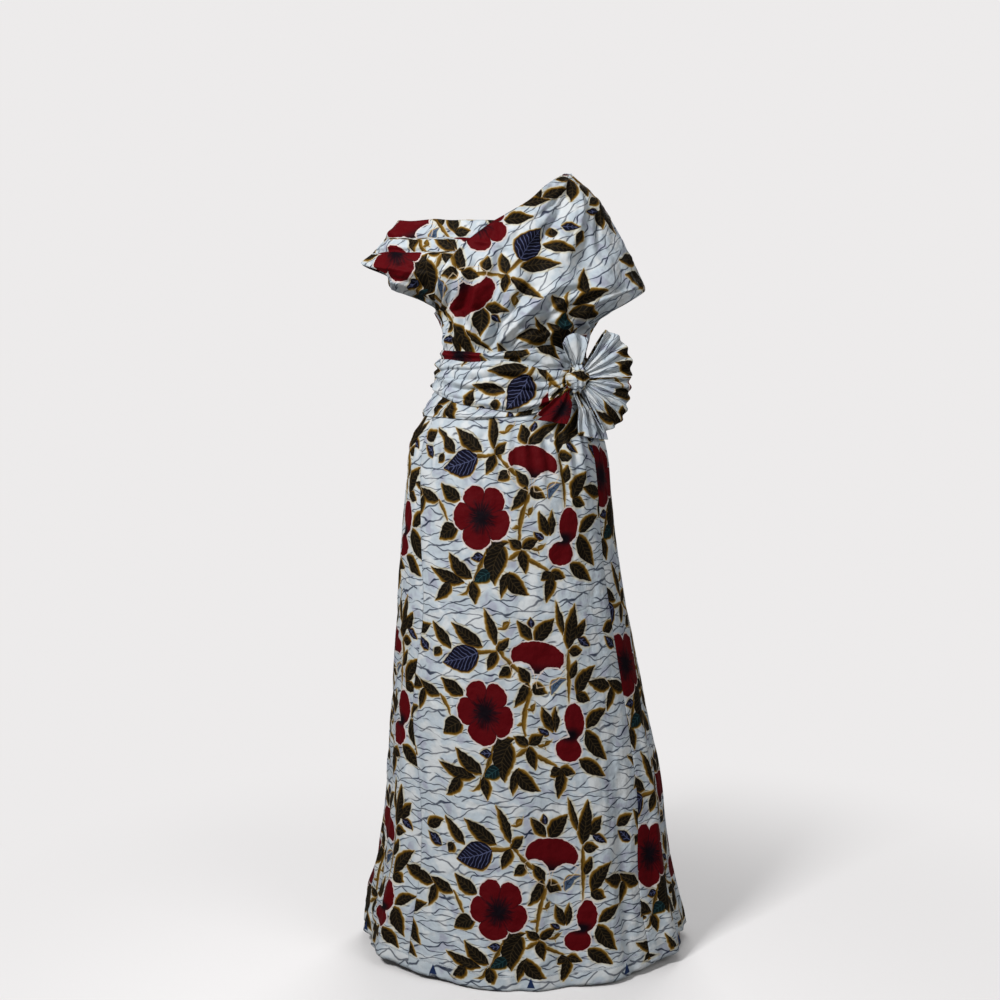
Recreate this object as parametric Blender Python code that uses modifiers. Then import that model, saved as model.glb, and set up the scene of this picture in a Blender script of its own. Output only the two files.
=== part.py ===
import math

import bpy
import numpy as np

# An ankara maxi dress as it hangs on a wearer: a gathered A-line skirt of three panels, a draped bodice
# that goes over the wearer's left shoulder, an off-shoulder band round the right upper arm, and a wide
# sash of three wraps that is tied in a bow at the left of the waist. Metres, +Z up.
# The tables below are in the dress's own frame: z up from the hem, x to the wearer's left, -y to the
# front. The whole dress is then hung from its shoulder, so that the shoulder is the origin.

# Driving sizes
CLOTH = 0.0015
SEAM_GAP = 0.0003
SEAM_LEAN = 0.00035  # how far a bodice panel's inner face leans over its side seam
WAIST_SEAM_Z = 1.090
SHOULDER = (0.099, 0.0, 1.4635)
LAYER = 0.0026  # from the face of one layer of cloth to the face of the one under it
BAND_UNDER = 0.0055  # how far the band's face lies under the drape's, where the drape covers it
MOST_SLOPE = 2.4  # layers on a flatter slope than this lie closer

# The dress's outline at each height: its left and right edge in x, how far it stands out in front of
# and behind the middle, and the power of its curve: 2 is an ellipse, less is flatter towards the arms.
RING_COLUMNS = ("z", "left", "right", "front", "back", "power")
RINGS = (
    (-0.02, -0.297, 0.336, 0.250, 0.240, 2.0),
    (0.05, -0.288, 0.322, 0.238, 0.230, 2.0),
    (0.12, -0.274, 0.304, 0.226, 0.220, 2.0),
    (0.20, -0.257, 0.291, 0.213, 0.208, 2.0),
    (0.30, -0.246, 0.281, 0.200, 0.196, 2.0),
    (0.45, -0.236, 0.252, 0.186, 0.183, 2.0),
    (0.60, -0.227, 0.222, 0.172, 0.172, 2.0),
    (0.75, -0.218, 0.196, 0.160, 0.163, 2.0),
    (0.88, -0.207, 0.181, 0.151, 0.154, 2.0),
    (0.96, -0.197, 0.168, 0.141, 0.142, 2.0),
    (1.01, -0.174, 0.152, 0.124, 0.116, 2.0),
    (1.06, -0.149, 0.142, 0.108, 0.094, 2.0),
    (1.13, -0.136, 0.134, 0.100, 0.084, 2.0),
    (1.165, -0.135, 0.138, 0.107, 0.087, 2.0),
    (1.19, -0.139, 0.162, 0.115, 0.093, 1.95),
    (1.21, -0.149, 0.208, 0.121, 0.098, 1.88),
    (1.23, -0.180, 0.238, 0.124, 0.102, 1.82),
    (1.252, -0.231, 0.244, 0.125, 0.105, 1.76),
    (1.275, -0.274, 0.235, 0.122, 0.107, 1.75),
    (1.296, -0.291, 0.225, 0.118, 0.108, 1.75),
    (1.32, -0.266, 0.212, 0.110, 0.106, 1.76),
    (1.35, -0.240, 0.197, 0.098, 0.101, 1.79),
    (1.385, -0.214, 0.176, 0.082, 0.091, 1.83),
    (1.41, -0.185, 0.158, 0.068, 0.078, 1.88),
    (1.435, -0.130, 0.138, 0.052, 0.060, 1.94),
    (1.450, -0.080, 0.121, 0.036, 0.041, 1.98),
    (1.460, -0.030, 0.110, 0.019, 0.021, 2.0),
    (1.466, 0.040, 0.104, 0.0006, 0.0006, 2.0),
)

# The skirt's seams, in degrees round from the front, with the wearer's left positive.
SEAM_COLUMNS = ("z", "right_side", "left_side", "middle_back")
SEAMS = (
    (0.00, -44.0, 48.0, 180.0),
    (0.15, -44.0, 49.0, 180.0),
    (0.30, -47.0, 53.0, 180.0),
    (0.48, -55.0, 56.0, 180.0),
    (0.66, -49.0, 57.0, 180.0),
    (0.80, -54.0, 58.0, 180.0),
    (0.95, -60.0, 60.0, 180.0),
    (1.10, -62.0, 60.0, 180.0),
)

# The skirt's panels: the seams that each one runs between, whole turns added to the second, how many
# gathers are drawn up at the waist, and its columns of faces.
SKIRT_PANEL_COLUMNS = ("name", "from_seam", "to_seam", "turns", "gathers", "columns")
SKIRT_PANELS = (
    ("skirt_front", "right_side", "left_side", 0, 13, 39),
    ("skirt_back_left", "left_side", "middle_back", 0, 8, 24),
    ("skirt_back_right", "middle_back", "right_side", 1, 8, 24),
)

# The skirt's long folds: where each runs at the waist and at the hem, in degrees, its half width there,
# how far it stands out at the hem (a trough is negative), and the height that it starts from.
SKIRT_FOLD_COLUMNS = ("at_waist", "at_hem", "half_width", "height", "starts_z")
SKIRT_FOLDS = (
    (-32.0, -30.0, 10.0, -0.006, 0.80),
    (-12.0, -12.0, 12.0, 0.005, 0.60),
    (10.0, 14.0, 10.0, -0.006, 0.70),
    (30.0, 32.0, 9.0, 0.007, 0.75),
    (44.0, 41.0, 6.0, -0.007, 0.60),
    (66.0, 62.0, 9.0, 0.012, 0.80),
    (80.0, 78.0, 7.0, -0.012, 0.70),
    (95.0, 96.0, 9.0, 0.010, 0.85),
    (114.0, 114.0, 9.0, -0.014, 0.85),
    (131.0, 131.0, 9.0, 0.015, 0.90),
    (148.0, 148.0, 9.0, -0.013, 0.90),
    (165.0, 165.0, 9.0, 0.014, 0.92),
    (195.0, 195.0, 9.0, 0.013, 0.90),
    (213.0, 212.0, 9.0, -0.014, 0.90),
    (230.0, 229.0, 9.0, 0.014, 0.90),
    (247.0, 247.0, 9.0, -0.012, 0.85),
    (264.0, 263.0, 9.0, 0.008, 0.80),
    (281.0, 283.0, 8.0, -0.010, 0.55),
    (299.0, 302.0, 8.0, 0.009, 0.70),
)
GATHERS = {"height": 0.0036, "top_z": 1.016, "full_z": 0.965, "end_z": 0.84}
SEAM_GROOVE = {"depth": 0.002, "half_width_deg": 4.7, "folds_clear_deg": 12.0}
HEM = {"low": 0.004, "side_rise": 0.022}

# The edge of the left-shoulder drape: it runs from the shoulder's top down across the chest, and goes
# over the off-shoulder band to the right side seam. The band ends a little way under it.
EDGE_COLUMNS = ("z", "drape_edge_x", "band_end_x")
DRAPE_EDGE = (
    (1.19, -0.152, -0.110),
    (1.21, -0.149, -0.100),
    (1.24, -0.147, -0.092),
    (1.27, -0.138, -0.082),
    (1.30, -0.118, -0.066),
    (1.33, -0.090, -0.045),
    (1.366, -0.044, -0.012),
    (1.385, -0.012, 0.010),
    (1.41, 0.026, 0.030),
    (1.437, 0.054, 0.056),
    (1.453, 0.074, 0.076),
    (1.466, 0.094, 0.096),
)
DRAPE_TOP_Z = 1.4655
EDGE_CROWDING = 3.0  # how closely the drape's columns may crowd towards its slanting edge
SEAM_CROWDING = 0.1  # how much closer than even a bodice panel's columns lie by its side seams
BAND = {"bottom_z": 1.206, "top_z": 1.379, "top_dip": 0.010}

# The openings that the arms come out of, on each side seam: from z to z, the largest angle by which the
# front and back hems part from the seam line, and the height of the sleeve's tip.
LEFT_SLEEVE = {"low_z": 1.176, "high_z": 1.251, "parted_deg": 31.0}
RIGHT_SLEEVE = {"low_z": 1.251, "high_z": 1.302, "parted_deg": 29.0, "tip_z": 1.296}
SLEEVE_BLUNTNESS = 0.85

# The drape's folds follow its columns. They are drawn together at a gather over the waist, and fan out
# above it to the sleeve, the shoulder and the slanting edge. A fold's place is its share of the columns,
# from the right end to the left.
FRONT_GATHER = {"at_deg": -10.0, "pull": 0.55, "spread_deg": 46.0, "low_z": 1.150, "high_z": 1.280}
BACK_GATHER = {"at_deg": 10.0, "pull": 0.40, "spread_deg": 50.0, "low_z": 1.150, "high_z": 1.290}
FOLD_COLUMNS = ("at", "half_width", "height", "ends_z")
FRONT_FOLDS = (
    (0.10, 0.045, 0.004, 1.25),
    (0.19, 0.050, 0.007, 1.28),
    (0.28, 0.050, 0.009, 1.32),
    (0.37, 0.050, 0.009, 1.37),
    (0.47, 0.055, 0.012, 1.43),
    (0.57, 0.055, 0.012, 1.45),
    (0.67, 0.050, 0.009, 1.41),
    (0.77, 0.050, 0.007, 1.34),
    (0.86, 0.045, 0.005, 1.27),
)
BACK_FOLDS = (
    (0.14, 0.060, 0.006, 1.27),
    (0.27, 0.065, 0.010, 1.33),
    (0.41, 0.070, 0.010, 1.40),
    (0.55, 0.070, 0.012, 1.44),
    (0.69, 0.065, 0.009, 1.40),
    (0.83, 0.060, 0.006, 1.30),
)
FOLDS_START = 0.010  # how far above the sash's top edge they begin
FOLDS_FULL = 0.034
FOLDS_FADE = 0.10  # the height over which each one runs out

# The off-shoulder band's level tucks: height on the band, half width and how far it stands out.
TUCK_COLUMNS = ("z", "half_width", "height")
TUCKS = (
    (1.329, 0.013, 0.005),
    (1.355, 0.012, 0.005),
)

# The three wraps of the sash: how many layers out each one lies, its top and bottom edge at the angles
# below (right side, front, knot, left side, back), its lengthwise folds from its lower to its upper edge,
# and how many columns and rows of faces it has.
WRAP_ANGLES = (-90.0, -35.0, 0.0, 26.0, 46.0, 90.0, 180.0, 270.0)
WRAP_COLUMNS = ("name", "layer", "top", "bottom", "fold_heights", "columns", "rows")
WRAPS = (
    ("sash_top_wrap", 1, (1.138, 1.134, 1.133, 1.146, 1.134, 1.120, 1.132, 1.138),
     (1.104, 1.100, 1.098, 1.086, 1.084, 1.086, 1.098, 1.104), (0.0, 0.0, 0.0, 0.0026, 0.0), 40, 4),
    ("sash_middle_wrap", 2, (1.122, 1.117, 1.114, 1.100, 1.103, 1.106, 1.118, 1.122),
     (1.066, 1.040, 1.024, 1.040, 1.064, 1.052, 1.040, 1.066), (0.0, 0.005, 0.0, 0.006, 0.0, 0.005, 0.0),
     42, 6),
    ("sash_low_wrap", 1, (1.082, 1.066, 1.052, 1.062, 1.082, 1.072, 1.060, 1.082),
     (1.016, 1.013, 1.014, 1.028, 1.044, 1.030, 1.012, 1.016), (0.0, 0.0035, 0.0, 0.0, 0.0), 42, 4),
)
WRAP_UNEVEN = {"share": 0.25, "round": 3, "up": 9}
WRAP_PRESSED = {"share": 0.7, "spread": 0.4}  # how flat the folds are by the knot, and how far round

# The bow. Angles are seen from the front: 0 points to the wearer's left, 90 up.
KNOT = {"angle": 46.0, "z": 1.086, "half_width": 0.020, "half_height": 0.025, "half_depth": 0.015,
        "lumps": 0.07, "lump_count": 4, "facing": 0.55, "segments": 16, "rings": 9}
BOW_GAP = 0.0008
LOOP_COLUMNS = ("name", "from_deg", "to_deg", "reaches", "opens", "pleats", "pleat_height", "lean")
LOOPS = (
    ("bow_upper_loop", 8.0, 62.0, (0.102, 0.108, 0.108, 0.100), 0.014, 4, 0.0052, 8.0),
    ("bow_lower_loop", -66.0, -4.0, (0.108, 0.112, 0.104, 0.100), 0.013, 5, 0.0052, 8.0),
    ("bow_top_loop", 78.0, 118.0, (0.074, 0.082, 0.072), 0.011, 2, 0.0040, 4.0),
)
LOOP_LIFT = 0.003
LOOP_ROOT_APART = 0.0016  # half the gap between a loop's two layers where they leave the knot
LOOP_ROOT_PLEAT = 0.22  # how high the pleats already are there
TAIL_COLUMNS = ("name", "leaves_at", "length", "slant", "root_width", "end_width", "pleats", "pleat_height")
TAILS = (
    ("bow_pleated_tail", -80.0, 0.082, 0.014, 0.018, 0.054, 3, 0.0042),
    ("bow_side_tail", -140.0, 0.050, -0.036, 0.013, 0.062, 2, 0.0032),
)
TAIL = {"stands_off": 0.015, "root_depth": -0.006, "gap": 0.0013, "hem_slant": 0.010, "root_pleat": 0.3,
        "fallen_at": 0.45, "straight_at": 0.6}

# How finely each piece is divided: columns across, or rows down to each height.
COLUMNS = {"drape_front": 36, "drape_back": 28, "band": 12, "each_pleat": 3, "tail": 8}
ROWS = {
    "skirt": ((1.0, 4), (GATHERS["end_z"], 2), (0.0, 5)),
    "drape": ((WRAPS[0][2][3], 3), (LEFT_SLEEVE["low_z"], 2), (LEFT_SLEEVE["high_z"], 5), (1.41, 6),
              (1.45, 2), (DRAPE_TOP_Z, 1)),
    "band": ((RIGHT_SLEEVE["low_z"], 3), (RIGHT_SLEEVE["tip_z"], 3), (RIGHT_SLEEVE["high_z"], 1),
             (TUCKS[0][0], 2), (TUCKS[1][0], 2), (BAND["top_z"], 2)),
    "loop": 8,
    "tail": 6,
}

# The print's mean colour over each kind of piece.
CLOTH_ROUGHNESS = 0.78
COLOURS = {
    "skirt": (0.56, 0.55, 0.57),
    "drape": (0.55, 0.52, 0.55),
    "band": (0.50, 0.34, 0.35),
    "sash": (0.36, 0.27, 0.29),
    "bow": (0.38, 0.27, 0.27),
}


def named_rows(columns, table):
    """A table's rows, each value under its column's name."""
    return [dict(zip(columns, row)) for row in table]


def column(columns, table, name):
    """One named column of a table."""
    at = columns.index(name)
    return np.array([row[at] for row in table], float)


def smooth(at, keys, values):
    """Values between a table's rows, on a cubic through them that never overshoots (harmonic slopes)."""
    at = np.clip(at, keys[0], keys[-1])
    steps = np.diff(keys)
    rates = np.diff(values) / steps
    before, after = rates[:-1], rates[1:]
    same_way = before * after > 0
    safe = np.where(same_way, before + after, 1.0)
    inner = np.where(same_way, 2 * before * after / safe, 0.0)
    slopes = np.concatenate([[rates[0]], inner, [rates[-1]]])
    i = np.clip(np.searchsorted(keys, at, side="right") - 1, 0, len(steps) - 1)
    t = (at - keys[i]) / steps[i]
    rise = values[i + 1] - values[i]
    start, end = slopes[i] * steps[i], slopes[i + 1] * steps[i]
    return values[i] + t * (start + t * ((3 * rise - 2 * start - end) + t * (start + end - 2 * rise)))


def ease(low, high, at):
    """0 at low and 1 at high, smoothly between."""
    t = np.clip((at - low) / (high - low), 0, 1)
    return t * t * (3 - 2 * t)


def ridge(distance, half_width):
    """1 on the line and 0 at the half width, with no corner."""
    return np.cos(np.clip(distance / half_width, -1, 1) * math.pi / 2) ** 2


def ring(z, name):
    """One column of the outline table at height z."""
    return smooth(z, column(RING_COLUMNS, RINGS, "z"), column(RING_COLUMNS, RINGS, name))


def ring_point(phi, z):
    """The point at angle phi round the bare outline at height z, and the level way out from it. The
    outline is half an oval in front and half an oval behind, joined at the sides: each is the curve
    |x / half| ** power + |y / depth| ** power = 1."""
    left, right, power = ring(z, "left"), ring(z, "right"), ring(z, "power")
    middle, half = (left + right) / 2, (right - left) / 2
    depth = np.where(np.cos(phi) > 0, ring(z, "front"), ring(z, "back"))
    across = np.sign(np.sin(phi)) * np.abs(np.sin(phi)) ** (2 / power)
    along = np.sign(np.cos(phi)) * np.abs(np.cos(phi)) ** (2 / power)
    point = np.stack([middle + half * across, -depth * along], -1)
    way = np.stack([np.sign(across) * np.abs(across) ** (power - 1) / half,
                    -np.sign(along) * np.abs(along) ** (power - 1) / depth], -1)
    return point, way / np.linalg.norm(way, axis=-1, keepdims=True)


def on_ring(phi, z, out):
    """The point at angle phi and height z, stood off by out. It moves level, by more where the outline
    slopes, so that out is the distance from one layer's face to another's."""
    point, way = ring_point(phi, z)
    step = 0.001
    slope = ((ring_point(phi, z + step)[0] - ring_point(phi, z - step)[0]) * way).sum(-1) / (2 * step)
    level = np.minimum(np.sqrt(1 + slope ** 2), MOST_SLOPE)
    moved = point + (out * level)[..., None] * way
    return np.concatenate([moved, (z + 0 * phi)[..., None]], -1)


def angle_at(x, z):
    """The angle round the front half of the ring at which it has this x."""
    left, right = ring(z, "left"), ring(z, "right")
    share = np.clip((x - (left + right) / 2) / ((right - left) / 2), -1, 1)
    return np.arcsin(np.sign(share) * np.abs(share) ** (ring(z, "power") / 2))


def half_gap_angle(z, lean=0.0):
    """The angle that half a seam's gap takes at the side of the ring, with room for an inner face that
    leans towards the seam."""
    return ((SEAM_GAP / 2 + lean) / ring(z, "front")) ** (ring(z, "power") / 2)


# Skirt

def seam_angle(z, name):
    return np.radians(smooth(z, column(SEAM_COLUMNS, SEAMS, "z"), column(SEAM_COLUMNS, SEAMS, name)))


def skirt_stand_off(phi, z, gathers, from_seam):
    """The long folds, which grow towards the hem, and the small gathers under the sash. Both fade out at
    the seams, which lie in a shallow groove. gathers counts them across, from_seam is in degrees."""
    out = 0 * phi
    down = np.clip((WAIST_SEAM_Z - z) / WAIST_SEAM_Z, 0, 1)
    for fold in named_rows(SKIRT_FOLD_COLUMNS, SKIRT_FOLDS):
        line = fold["at_waist"] + (fold["at_hem"] - fold["at_waist"]) * down
        apart = (np.degrees(phi) - line + 180) % 360 - 180
        out = out + fold["height"] * ridge(apart, fold["half_width"]) * ease(fold["starts_z"], 0.0, z)
    low = ease(GATHERS["top_z"], GATHERS["full_z"], z)
    rise = low * (1 - ease(GATHERS["full_z"], GATHERS["end_z"], z))
    out = out - GATHERS["height"] * rise * np.cos(2 * math.pi * gathers)
    half_width, folds_clear = SEAM_GROOVE["half_width_deg"], SEAM_GROOVE["folds_clear_deg"]
    groove = SEAM_GROOVE["depth"] * np.clip(1 - from_seam / half_width, 0, 1) * low
    return out * ease(half_width, folds_clear, from_seam) - groove


def hem_z(phi):
    """The hem rides up a little at the sides."""
    return HEM["low"] + HEM["side_rise"] * np.sin(phi) ** 2


def skirt_panel(panel, heights):
    """A panel from one seam to the next, from the waist seam down to the hem."""
    share = np.linspace(0, 1, panel["columns"] + 1)[None, :]
    z = heights[:, None]
    first = seam_angle(z, panel["from_seam"]) + half_gap_angle(z)
    last = seam_angle(z, panel["to_seam"]) + 2 * math.pi * panel["turns"] - half_gap_angle(z)
    phi = first + share * (last - first)
    from_seam = np.degrees(np.minimum(phi - first, last - phi))
    z = z + hem_z(phi) * (1 - z / heights[0])
    return on_ring(phi, z, skirt_stand_off(phi, z, share * panel["gathers"], from_seam))


# Bodice

def shares(columns):
    """Columns across a panel, even from 0 to 1, and again closer together by the side seams, where the
    cloth turns most."""
    even = np.linspace(0, 1, columns + 1)[None, :]
    return even, even - SEAM_CROWDING * np.sin(2 * math.pi * even)


def drape_stand_off(even, phi, z, folds):
    """The drape's folds, from just above the sash."""
    above_sash = z - wrap_edge(phi, wrap_called("sash_top_wrap")["top"])
    out = 0 * phi
    for fold in named_rows(FOLD_COLUMNS, folds):
        runs_out = 1 - ease(fold["ends_z"] - FOLDS_FADE, fold["ends_z"], z)
        out = out + fold["height"] * ridge(even - fold["at"], fold["half_width"]) * runs_out
    return out * ease(FOLDS_START, FOLDS_FULL, above_sash)


def sleeve_part(z, sleeve):
    """How far the hems part from the seam line at height z, in radians: a lens from low to high."""
    t = np.clip((z - sleeve["low_z"]) / (sleeve["high_z"] - sleeve["low_z"]), 0, 1)
    return math.radians(sleeve["parted_deg"]) * np.sin(math.pi * t) ** SLEEVE_BLUNTNESS


def edge_x(z, name):
    return smooth(z, column(EDGE_COLUMNS, DRAPE_EDGE, "z"), column(EDGE_COLUMNS, DRAPE_EDGE, name))


def half_turned(phi, back):
    """An angle of the front half, or its mirror image on the back half."""
    return math.pi - phi if back else phi


def drape_panel(back, gather, folds, columns, heights):
    """The front or back of the drape. Its left end is the side seam, the sleeve's hem and the shoulder
    ridge. Its right end is the side seam up to the underarm, and its own slanting edge above that: the
    columns near that edge crowd towards it. Over the waist they are drawn to the gather."""
    z = heights[:, None]
    even, share = shares(columns)
    side = math.pi / 2 - half_gap_angle(z, SEAM_LEAN)
    last = side - sleeve_part(z, LEFT_SLEEVE)
    edge = np.maximum(angle_at(edge_x(z, "drape_edge_x"), z), -side)
    phi = -side + share * (last + side)
    away = phi - math.radians(gather["at_deg"])
    held = ease(0, 0.12, np.minimum(even, 1 - even)) * (1 - ease(gather["low_z"], gather["high_z"], z))
    phi = phi - away * gather["pull"] * held * np.exp(-(away / math.radians(gather["spread_deg"])) ** 2)
    moved = edge + side
    crowding = np.clip(0.8 * (last + side) / np.maximum(moved, 0.01), 1, EDGE_CROWDING)
    phi = phi + moved * (1 - share) ** crowding
    turned = half_turned(phi, back)
    return on_ring(turned, z, drape_stand_off(even, turned, z, folds))


def band_panel(back, columns, heights):
    """The front or back of the off-shoulder band: from the seam over the arm, with the cuff's hem, to
    where it ends flat under the drape, one layer in."""
    even, share = shares(columns)
    z = heights[:, None]
    first = -(math.pi / 2 - half_gap_angle(z, SEAM_LEAN)) + sleeve_part(z, RIGHT_SLEEVE)
    last = angle_at(edge_x(z, "band_end_x"), z)
    phi = half_turned(first + share * (last - first), back)
    by_underarm = 1 - ease(BAND["bottom_z"], RIGHT_SLEEVE["low_z"], z)
    out = -BAND_UNDER * np.maximum(ease(0.1, 0.5, share), by_underarm)
    clear = (1 - ease(0.5, 0.75, share)) * ease(0.0, 0.15, share)
    for tuck in named_rows(TUCK_COLUMNS, TUCKS):
        out = out + tuck["height"] * ridge(z - tuck["z"], tuck["half_width"]) * clear
    z = z - BAND["top_dip"] * ease(heights[0], heights[-1], z) * share
    return on_ring(phi, z, out)


# Sash

def wrap_called(name):
    return next(wrap for wrap in named_rows(WRAP_COLUMNS, WRAPS) if wrap["name"] == name)


def wrap_edge(phi, levels):
    """A wrap's edge height all round, on a smooth closed curve through its levels."""
    turned = (np.degrees(phi) + 90) % 360 - 90
    return smooth(turned, np.array(WRAP_ANGLES), np.array(levels))


def wrap_surface(name, phi, up):
    """A wrap of the sash at angle phi and share up from its lower to its upper edge. Its folds lie along
    it, and are pressed together near the knot and flat where the middle wrap covers it."""
    wrap, middle = wrap_called(name), wrap_called("sash_middle_wrap")
    low, high = wrap_edge(phi, wrap["bottom"]), wrap_edge(phi, wrap["top"])
    z = low + (high - low) * up
    marks = np.linspace(0, 1, len(wrap["fold_heights"]))
    uneven = np.sin(WRAP_UNEVEN["round"] * phi + WRAP_UNEVEN["up"] * up)
    fold = smooth(up, marks, np.array(wrap["fold_heights"])) * (1 + WRAP_UNEVEN["share"] * (uneven - 1))
    if name != middle["name"]:
        above, below = z - wrap_edge(phi, middle["top"]), wrap_edge(phi, middle["bottom"]) - z
        fold = fold * ease(0.003, 0.012, np.maximum(above, below))
    from_knot = (phi - math.radians(KNOT["angle"]) + math.pi) % (2 * math.pi) - math.pi
    pressed = 1 - WRAP_PRESSED["share"] * np.exp(-(from_knot / WRAP_PRESSED["spread"]) ** 2)
    return on_ring(phi, z, wrap["layer"] * LAYER + fold * pressed)


def sash_wrap(name, columns, rows):
    phi = np.linspace(-math.pi / 2, 1.5 * math.pi, columns + 1)[None, :-1]
    up = np.linspace(1, 0, rows + 1)[:, None]
    return wrap_surface(name, phi, up)


# Bow

def bow_axes():
    """The bow's own frame: its middle, the way to the wearer's left along its face, up, and outwards. It
    sits on the middle wrap, and faces further forward than the cloth under it."""
    phi, z = np.array([[math.radians(KNOT["angle"])]]), np.array([[KNOT["z"]]])
    middle_wrap = wrap_called("sash_middle_wrap")
    top, bottom = wrap_edge(phi, middle_wrap["top"]), wrap_edge(phi, middle_wrap["bottom"])
    seat = wrap_surface("sash_middle_wrap", phi, (z - bottom) / (top - bottom))[0, 0]
    out = ring_point(phi, z)[1][0, 0]
    middle = seat + np.array([*out, 0.0]) * (KNOT["half_depth"] + BOW_GAP)
    outward = np.array([out[0] * KNOT["facing"], out[1], 0.0])
    outward = outward / np.linalg.norm(outward)
    across = np.array([-outward[1], outward[0], 0.0])
    return middle, across, np.array([0.0, 0.0, 1.0]), outward


def knot_lump(angle):
    """The tied band's folds round the knot, as a share of its radius."""
    return KNOT["lumps"] * np.cos(KNOT["lump_count"] * angle)


def knot_radius(angle, height):
    """The knot's radius at an angle of its face, and a height above its middle."""
    flat = np.hypot(np.cos(angle) / KNOT["half_width"], np.sin(angle) / KNOT["half_height"])
    return (1 + knot_lump(angle)) / flat * np.sqrt(1 - np.clip(height / KNOT["half_depth"], -0.9, 0.9) ** 2)


def in_bow(side, rise, height):
    """Points in the bow's frame, taken to the dress's."""
    middle, across, up, outward = bow_axes()
    return middle + side[..., None] * across + rise[..., None] * up + height[..., None] * outward


def loop_surface(loop, columns, rows):
    """A bow loop: a pleated strip that leaves the knot, turns back at its outer edge and returns behind
    itself. Along each pleat it is a drop: out by sine squared, and apart by cosine."""
    share = np.linspace(0, 1, columns + 1)[None, :]
    turn = np.linspace(0, math.pi, rows + 1)[:, None]
    reach = np.sin(turn) ** 2
    angle = np.radians(loop["from_deg"] + (loop["to_deg"] - loop["from_deg"]) * share)
    apart = np.cos(turn) * (LOOP_ROOT_APART + loop["opens"] * reach ** 0.7)
    deep = loop["pleat_height"] * (LOOP_ROOT_PLEAT + (1 - LOOP_ROOT_PLEAT) * reach)
    pleat = deep * np.cos(2 * math.pi * loop["pleats"] * share)
    root = knot_radius(angle, 0.0) + BOW_GAP
    far = smooth(share, np.linspace(0, 1, len(loop["reaches"])), np.array(loop["reaches"]))
    radius = root + (far - root) * reach
    height = LOOP_LIFT + apart + pleat + math.tan(math.radians(loop["lean"])) * (radius - root)
    return in_bow(radius * np.cos(angle), radius * np.sin(angle), height)


def tail_surface(tail, columns, rows):
    """A hanging end of the sash. It leaves the knot, falls back on the wraps and the skirt, and widens
    towards its hem."""
    share = np.linspace(-0.5, 0.5, columns + 1)[None, :]
    down = np.linspace(0, 1, rows + 1)[:, None]
    angle = math.radians(tail["leaves_at"])
    radius = knot_radius(angle, TAIL["root_depth"]) + TAIL["gap"]
    width = share * (tail["root_width"] + (tail["end_width"] - tail["root_width"]) * ease(0, 1, down))
    turned = (angle + math.pi / 2) * (1 - ease(0, TAIL["straight_at"], down))
    side = radius * math.cos(angle) + tail["slant"] * down + width * np.cos(turned)
    rise = radius * math.sin(angle) - (tail["length"] + TAIL["hem_slant"] * share) * down
    rise = rise + width * np.sin(turned)
    deep = tail["pleat_height"] * (TAIL["root_pleat"] + (1 - TAIL["root_pleat"]) * down)
    pleat = deep * np.cos(2 * math.pi * tail["pleats"] * (share + 0.5))
    forward = in_bow(side, rise, pleat + TAIL["root_depth"])
    phi = angle_at(forward[..., 0], forward[..., 2])
    hanging = on_ring(phi, forward[..., 2], TAIL["stands_off"] + pleat)
    fallen = ease(0.0, TAIL["fallen_at"], down)[..., None]
    return forward * (1 - fallen) + hanging * fallen


def knot_solid(name):
    """The knot: one rounded solid with the tied band's folds lying round it."""
    bpy.ops.mesh.primitive_uv_sphere_add(segments=KNOT["segments"], ring_count=KNOT["rings"], radius=1.0)
    obj = bpy.context.object
    obj.name = obj.data.name = name
    points = np.array([v.co for v in obj.data.vertices])
    fold = 1 + knot_lump(np.arctan2(points[:, 2], points[:, 0])) * (1 - points[:, 1] ** 2)
    placed = in_bow(points[:, 0] * KNOT["half_width"] * fold, points[:, 2] * KNOT["half_height"] * fold,
                    -points[:, 1] * KNOT["half_depth"])
    obj.data.vertices.foreach_set("co", placed.astype(np.float32).ravel())
    obj.data.update()
    obj.data.materials.append(cloth_material(name))
    obj.data.shade_smooth()
    for collection in list(obj.users_collection):
        collection.objects.unlink(obj)
    return obj


# Objects

def cloth_material(name):
    """A piece's own cloth, in the colour of its kind."""
    material = bpy.data.materials.new(f"{name}_cloth")
    material.use_nodes = True
    shader = material.node_tree.nodes["Principled BSDF"]
    shader.inputs["Base Color"].default_value = (*COLOURS[name.split("_")[0]], 1.0)
    shader.inputs["Roughness"].default_value = CLOTH_ROUGHNESS
    shader.inputs["Metallic"].default_value = 0.0
    return material


def sheet_object(name, grid, closed=False, inward=True):
    """A sheet of cloth through a grid of points, given its thickness by Solidify on the inner side."""
    rows, columns = grid.shape[:2]
    index = np.arange(rows * columns).reshape(rows, columns)
    right = np.roll(index, -1, axis=1) if closed else index[:, 1:]
    left = index if closed else index[:, :-1]
    quads = np.stack([left[1:], right[1:], right[:-1], left[:-1]], -1).reshape(-1, 4)
    mesh = bpy.data.meshes.new(name)
    mesh.from_pydata(grid.reshape(-1, 3).tolist(), [], quads.tolist())
    mesh.materials.append(cloth_material(name))
    mesh.shade_smooth()
    obj = bpy.data.objects.new(name, mesh)
    thick = obj.modifiers.new("cloth", "SOLIDIFY")
    thick.thickness = CLOTH
    thick.offset = -1.0 if inward else 0.0
    thick.use_even_offset = True
    thick.use_quality_normals = True
    return obj


def heights_through(first, stops):
    """Row heights from the first one through stops, each a height and how many rows lead to it."""
    heights = [np.array([first])]
    for height, rows in stops:
        heights.append(np.linspace(heights[-1][-1], height, rows + 1)[1:])
    return np.concatenate(heights)


def skirt_objects():
    heights = heights_through(WAIST_SEAM_Z - SEAM_GAP / 2, ROWS["skirt"])
    return [sheet_object(panel["name"], skirt_panel(panel, heights))
            for panel in named_rows(SKIRT_PANEL_COLUMNS, SKIRT_PANELS)]


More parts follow.
